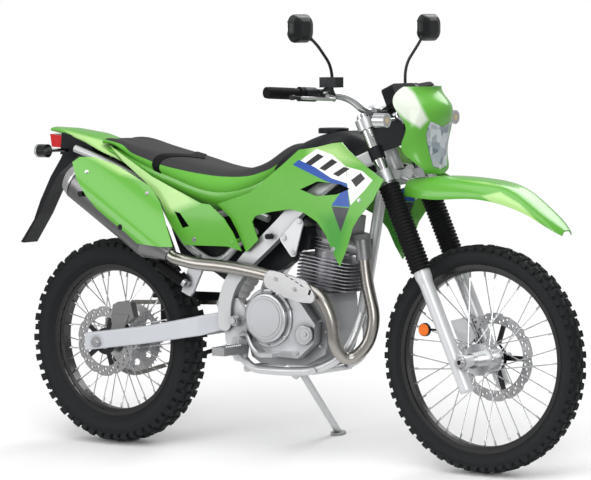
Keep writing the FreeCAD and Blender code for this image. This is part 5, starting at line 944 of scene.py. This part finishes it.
def linkPlate(bm, pin, run, offset):
    # One plate from a pin to the next, its round end drawn out along the run
    part = bmesh.new()
    bmesh.ops.create_circle(part, cap_ends=True, radius=chain["plate"] / 1000, segments=chain["plateSides"])
    for v in part.verts:
        if v.co.x > chain["plate"] / 4000:
            v.co.x += run.length / 1000
    raised(part, (0, 0, chain["wall"] / 1000))
    turn = Matrix.Rotation(-math.atan2(run.y, run.x), 4, "Y") @ Matrix.Rotation(math.radians(90), 4, "X")
    bmesh.ops.transform(part, matrix=bikeMatrix(pin.x, chain["line"] + offset, pin.y) @ turn, verts=part.verts)
    merge(bm, part)


def makeChain():
    bm = bmesh.new()
    pins = chainPath()
    for index, (pin, following) in enumerate(zip(pins, pins[1:] + pins[:1])):
        for side in (-1, 1):
            linkPlate(bm, pin, following - pin, side * chain["plateLines"][index % 2])
        # Round the rear sprocket only the pin ends are there, so that its teeth pass between the plates
        ends = chain["pinEnds"]
        if (pin - Vector(wheels["rear"]["hub"])).length > pitchRadius("rear") + chain["rollerClearance"]:
            ends = (chain["roller"], chain["pin"])
        for radius, offset, half in ends:
            y = chain["line"] + offset
            rodBetween(bm, (pin.x, y - half, pin.y), (pin.x, y + half, pin.y), radius,
                       chain["pinSides"])
    piece = addPiece(bm, "chainLinks", chainSteel, "chassis")
    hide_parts("drive_chain")


makeChain()
print("chain made")


# Screws and bolts on the surfaces that carry them
outside = 500  # beyond the widest solid that carries a bolt


def surfaceSpot(names, x, z, side):
    # First point met on the named solids when looking across the bike from one side, and its normal
    start = spot(x, side * outside, z)
    way = bikeTurn @ Vector((0, -side, 0))
    found = [nodes[name].ray_cast(start, way) for name in names]
    return min((hit[1:3] for hit in found if hit[0]), key=lambda pair: (pair[0] - start).length)


# A round cover is its middle, a count of sides and steps of radius and lift
clutch = (682, 434)
engine = {"ringReach": 84, "ringTurns": (20, 62, 104, 146, 188, 230, 272, 318),
          "ringBolt": 4,
          "faces": ((clutch, 64, ((66, 1.2), (57, 2.4))),
                    ((827, 391), 40, ((24, 2.5), (18, 4.0), (6, 6.5)))),
          "faceRoot": 2, "faceEdge": 1,
          "plugs": (((706, -112, 502), (706, -132, 520), 12, 32),
                    ((706, -130, 518), (706, -137, 525), 9, 12, 8),
                    ((550, -118, 418), (550, -131, 418), 17, 40, 15),
                    ((550, -130, 418), (550, -136, 418), 10, 6))}
# A bolt is x, z and a radius; a washer or head is its sides, its share of the radius, a depth and a lift
bolts = {"washer": (20, 1.35, 1.2, 0.2), "head": (6, 1.0, 4.2, 2.4), "taperShare": 0.94,
         "case": [(788, 330, 4), (846, 352, 4), (868, 396, 4), (846, 428, 4)], "cover": [(414, 662, 6)],
         "shroud": [(948, 652, 6), (1050, 800, 5)], "guard": [(40, 862, 5), (250, 800, 5)]}


def addBolt(bm, place, normal, radius):
    for segments, share, depth, lift in (bolts["washer"], bolts["head"]):
        wide = radius * share / 1000
        made = bmesh.ops.create_cone(bm, cap_ends=True, segments=segments, radius1=wide,
                                     radius2=wide * bolts["taperShare"], depth=depth / 1000)["verts"]
        lifted = Matrix.Translation(place + normal * lift / 1000)
        bmesh.ops.transform(bm, matrix=lifted @ upTo(normal), verts=made)


def makeBolts():
    ring = []
    for degrees in engine["ringTurns"]:
        turn = math.radians(degrees)
        x, z = (middle + engine["ringReach"] * share
                for middle, share in zip(clutch, (math.cos(turn), math.sin(turn))))
        ring.append((x, z, engine["ringBolt"]))
    bm = bmesh.new()
    for names, sides, places in ((("engine_covers", "crankcase"), (-1,), ring + bolts["case"]),
                                 (("side_covers",), (-1, 1), bolts["cover"]),
                                 (("shrouds",), (-1, 1), bolts["shroud"]),
                                 (("silencer_guard",), (-1,), bolts["guard"])):
        for side in sides:
            for x, z, radius in places:
                addBolt(bm, *surfaceSpot(names, x, z, side), radius)
    addPiece(bm, "chassisBolts", steel, "chassis")


def makeEngineTrim():
    bm = bmesh.new()
    for (x, z), segments, steps in engine["faces"]:
        place, _ = surfaceSpot(["engine_covers"], x, z, -1)
        y = (bikeTurn.transposed() @ (place - bikeOrigin)).y * 1000
        for radius, lift in steps:
            rodBetween(bm, (x, y + engine["faceRoot"], z), (x, y - lift, z), radius, segments,
                       radius - engine["faceEdge"])
    for plug in engine["plugs"]:
        rodBetween(bm, *plug)
    addPiece(bm, "engineTrim", alloy, "chassis")


makeBolts()
makeEngineTrim()
print("bolts and engine trim made")

# Plates; each is an outline of (x, z), where it starts and ends across the bike, a corner and an edge radius
plates = {
    "headPlate": {"material": legPaint, "slot": "silver_frame", "plates": [
        ([(721, 674), (727, 664), (764, 620), (777, 621), (808, 722), (802, 735), (788, 738)],
         -124, -118, 4, 0.8)]},
    "electricsCase": {"material": blackPlastic, "slot": "black_plastic", "plates": [
        ([(758, 705), (806, 712), (817, 671), (809, 640), (765, 639), (754, 668)], -96, -44, 9, 3),
        ([(699, 700), (736, 640), (721, 600), (679, 572), (600, 560), (582, 580)], -62, -24, 8, 3),
        ([(262, 690), (330, 716), (420, 724), (560, 664), (572, 640), (470, 560), (400, 570), (300, 606)],
         -66, -30, 8, 3),
        ([(372, 636), (512, 640), (556, 640), (556, 600), (478, 534), (440, 556), (372, 580)],
         -74, -40, 8, 3)]},
    "shieldFace": {"material": polished, "slot": "polished_steel", "plates": [
        ([(696, 556), (712, 582), (742, 580), (852, 556), (889, 512), (880, 489), (820, 489), (746, 513),
          (700, 532)], -168, -175, 12, 1.6)]},
}
# A slot is its middle, its length, its height and a turn
shield = {"slots": ((785, 566, 13, 3, -20), (803, 558, 13, 3, -22), (821, 549, 13, 3, -24),
                    (838, 540, 13, 3, -27), (868, 521, 8, 17, -20)),
          "slotFace": -174.6, "slotBack": -175.4, "slotCorner": 1.2, "slotEdge": 0.2}
square = ((-1, -1), (1, -1), (1, 1), (-1, 1))
# A set is places, then where its washers and its heads start and end across the bike, with their radii
bracketBolts = ((((744, 556), (814, 528)), (-174, -176.5, 8), (-176, -180, 5.5)),
                (((796, 727), (772, 633), (740, 676)), (-123, -126, 7), (-125, -130, 5)))


def makePlates():
    for name, values in plates.items():
        bm = bmesh.new()
        for sizes in values["plates"]:
            plate(bm, *sizes)
        addPiece(bm, name, values["material"], "chassis")


def makeShieldSlots():
    bm = bmesh.new()
    for x, z, length, height, degrees in shield["slots"]:
        turn = Matrix.Rotation(math.radians(degrees), 2)
        corners = [Vector((x, z)) + turn @ Vector((a * length / 2, b * height / 2)) for a, b in square]
        plate(bm, corners, shield["slotFace"], shield["slotBack"], shield["slotCorner"], shield["slotEdge"])
    addPiece(bm, "shieldSlots", blackPlastic, "chassis")


def makeBracketBolts():
    bm = bmesh.new()
    for places, washer, head in bracketBolts:
        for x, z in places:
            for (yFrom, yTo, radius), segments in ((washer, 32), (head, 6)):
                rodBetween(bm, (x, yFrom, z), (x, yTo, z), radius, segments)
    addPiece(bm, "bracketBolts", steel, "chassis")


makePlates()
makeShieldSlots()
makeBracketBolts()
print("brackets and shield made")

# Ribbed sleeves and plain rods on both sides; y is positive here and each is mirrored
sleeves = {
    "pegRubbers": {"body": "chassis",
                   "sleeves": [((362, 135.6, 529), (277, 147.2, 581.1), 17.5, 13.1, 1.6, 14)]},
    "gripRibs": {"body": "steering",
                 "sleeves": [((922, 322, 1114.2), (899.6, 417, 1118.9), 17.4, 16.4, 0.7, 22),
                             ((928.6, 300.5, 1113.1), (926.5, 306, 1113.4), 21.5, 16.4, 1.0, 1)]},
}
rods = {
    "reflectorCups": {"material": blackPlastic, "body": "steering", "slot": "black_plastic",
                      "rods": [((1233, 102, 423), (1233, 111, 423), 20, 40, 19),
                               ((1236, 103, 424), (1290, 100, 424), 3.5, 12)]},
    "forkReflectors": {"material": orange, "body": "steering", "slot": "red_lens",
                       "rods": [((1233, 111, 423), (1233, 113.5, 423), 17.5, 40, 16.5)]},
    "pegTeeth": {"material": steel, "body": "chassis", "slot": "steel",
                 "rods": [((x, 146 + index * 10, 344), (x, 146 + index * 10, 349), 2.6, 4, 1.2)
                          for index in range(8) for x in (545, 587)]},
}
# Posts hold the panels: one for each side cover, and two from the silencer to its guard
posts = {"cover": ((685.8, 118.2, 678.9), (685.8, 140, 678.9), 8.5, 28), "silencer": (330, 613),
         "wayShares": (-0.8517, 0.5241), "cone": 78, "length": 372, "placeShares": (0.22, 0.72),
         "guardFrom": -220.6, "guardTo": -234.5, "guardRadius": 8.6}


def onSide(place, side):
    return (place[0], place[1] * side, place[2])


def makeSleeves():
    for name, values in sleeves.items():
        bm = bmesh.new()
        for side in (-1, 1):
            for start, end, *sizes in values["sleeves"]:
                sleeve(bm, onSide(start, side), onSide(end, side), *sizes)
        addPiece(bm, name, rubber, values["body"], True)


def makeRods():
    for name, values in rods.items():
        bm = bmesh.new()
        for side in (-1, 1):
            for start, end, *sizes in values["rods"]:
                rodBetween(bm, onSide(start, side), onSide(end, side), *sizes)
        addPiece(bm, name, values["material"], values["body"])


def makePosts():
    bm = bmesh.new()
    start, end, radius, segments = posts["cover"]
    for side in (-1, 1):
        rodBetween(bm, onSide(start, side), onSide(end, side), radius, segments)
    for share in posts["placeShares"]:
        run = posts["cone"] + posts["length"] * share
        x, z = (base + way * run for base, way in zip(posts["silencer"], posts["wayShares"]))
        rodBetween(bm, (x, posts["guardFrom"], z), (x, posts["guardTo"], z), posts["guardRadius"], segments)
    addPiece(bm, "postSleeves", blackPlastic, "chassis")


nipple = {"count": 36, "half": 8, "lowSide": 7, "topSide": 5, "radius": 2.6, "topRadius": 3.2}


def makeNipples(key):
    bm = bmesh.new()
    for index in range(nipple["count"]):
        turn = math.tau * index / nipple["count"]
        side = 1 if index % 2 else -1
        ends = []
        for y, shift in ((nipple["lowSide"], -nipple["half"]), (nipple["topSide"], nipple["half"])):
            reach = wheels[key]["nipples"] + shift
            x, z = wheels[key]["hub"]
            ends.append((x + reach * math.cos(turn), side * y, z + reach * math.sin(turn)))
        rodBetween(bm, *ends, nipple["radius"], 8, nipple["topRadius"])
    addPiece(bm, key + "Nipples", steel, key + "_wheel")


glasses = {"half": (50, 35), "corner": 24, "depth": 5, "place": (948.5, 335, 1304)}


def makeGlasses():
    # Mirror glasses on the rider's side of the shells
    bm = bmesh.new()
    wide, high = glasses["half"]
    for side in (-1, 1):
        part = bmesh.new()
        part.faces.new([part.verts.new((0, a * wide / 1000, b * high / 1000)) for a, b in square])
        bmesh.ops.bevel(part, geom=part.verts[:], offset=glasses["corner"] / 1000, segments=8, profile=0.5,
                        affect="VERTICES", material=-1)
        raised(part, (-glasses["depth"] / 1000, 0, 0))
        bmesh.ops.transform(part, matrix=bikeMatrix(*onSide(glasses["place"], side)), verts=part.verts)
        merge(bm, part)
    addPiece(bm, "mirrorGlasses", mirrorGlass, "steering")


display = {"from": (850, 0, 1110), "way": (1, 0, -0.2), "size": (38, 86, 1.2)}


def makeDisplay():
    # A glass laid on the instrument's face, which is found from the rider's place
    bm = bmesh.new()
    way = bikeTurn @ Vector(display["way"]).normalized()
    hit, place, normal, _ = nodes["instrument"].ray_cast(spot(*display["from"]), way)
    verts = bmesh.ops.create_cube(bm, size=1)["verts"]
    bmesh.ops.scale(bm, vec=Vector(display["size"]) / 1000, verts=verts)
    turn = Matrix((normal.cross(across).normalized(), across, normal)).transposed().to_4x4()
    bmesh.ops.transform(bm, matrix=Matrix.Translation(place) @ turn, verts=verts)
    addPiece(bm, "displayGlass", displayPaint, "steering")


makeSleeves()
makeRods()
makePosts()
for key in wheels:
    makeNipples(key)
makeGlasses()
makeDisplay()
print("details made")

# Studio; a lamp is its name, its place, its size and its power
stage = {"floor": 0.92, "world": 0.47, "floorSize": 30, "floorNear": 0.9, "floorReach": 2.4, "roughness": 0.9,
         "aim": (0, 0, 0.5),
         "lamps": (("keyLight", (0.6, -1.2, 4.2), 4.6, 138), ("frontLight", (3.6, -4.2, 2.2), 2.4, 75),
                   ("sideLight", (-2.6, -4.4, 2.4), 2.6, 60), ("rimLight", (0.5, 4.2, 3.6), 3.0, 110))}


def makeWorld():
    # White behind the bike, softer light on it
    world = bpy.data.worlds.new("studio")
    bpy.context.scene.world = world
    world.use_nodes = True
    tree = world.node_tree
    light = tree.nodes["Background"]
    light.inputs["Color"].default_value = (1, 1, 1, 1)
    light.inputs["Strength"].default_value = stage["world"]
    plain = tree.nodes.new("ShaderNodeBackground")
    plain.inputs["Color"].default_value = (1, 1, 1, 1)
    rays = tree.nodes.new("ShaderNodeLightPath")
    mix = tree.nodes.new("ShaderNodeMixShader")
    for index, output in enumerate((rays.outputs["Is Camera Ray"], light.outputs[0], plain.outputs[0])):
        tree.links.new(output, mix.inputs[index])
    tree.links.new(mix.outputs[0], tree.nodes["World Output"].inputs[0])


def makeFloor():
    # A pale floor that fades out round the bike
    bm = bmesh.new()
    bmesh.ops.create_grid(bm, x_segments=1, y_segments=1, size=stage["floorSize"])
    floor = bpy.data.objects.new("floor", meshOf(bm, "floor"))
    bpy.context.scene.collection.objects.link(floor)
    material, tree, shader = newMaterial("floorPaint")
    shader.inputs["Base Color"].default_value = (stage["floor"],) * 3 + (1,)
    shader.inputs["Roughness"].default_value = stage["roughness"]
    shader.inputs["Specular IOR Level"].default_value = 0.0
    coords = tree.nodes.new("ShaderNodeTexCoord")
    fade = tree.nodes.new("ShaderNodeMapRange")
    fade.interpolation_type = "SMOOTHSTEP"
    fade.inputs["From Min"].default_value = stage["floorNear"]
    fade.inputs["From Max"].default_value = stage["floorReach"]
    tree.links.new(vectorNode(tree, "LENGTH", coords.outputs["Object"]), fade.inputs["Value"])
    tree.links.new(mathNode(tree, "SUBTRACT", 1.0, fade.outputs["Result"]), shader.inputs["Alpha"])
    floor.data.materials.append(material)


def makeLamps():
    for name, place, size, power in stage["lamps"]:
        lamp = bpy.data.lights.new(name, "AREA")
        lamp.size = size
        lamp.energy = power
        obj = bpy.data.objects.new(name, lamp)
        bpy.context.scene.collection.objects.link(obj)
        obj.location = place
        obj.rotation_euler = (Vector(stage["aim"]) - Vector(place)).to_track_quat("-Z", "Y").to_euler()


def makeCamera():
    data = bpy.data.cameras.new("camera")
    data.lens = shot["lens"]
    data.sensor_width = shot["sensor"]
    data.clip_end = shot["clipEnd"]
    obj = bpy.data.objects.new("camera", data)
    bpy.context.scene.collection.objects.link(obj)
    turn = Matrix([bikeTurn @ way for way in shotAxes()]).transposed()
    obj.matrix_world = Matrix.Translation(spot(*shot["place"])) @ turn.to_4x4()
    bpy.context.scene.camera = obj


makeWorld()
makeFloor()
makeLamps()
makeCamera()
bpy.context.scene.view_settings.view_transform = "Standard"
print("studio and camera set")
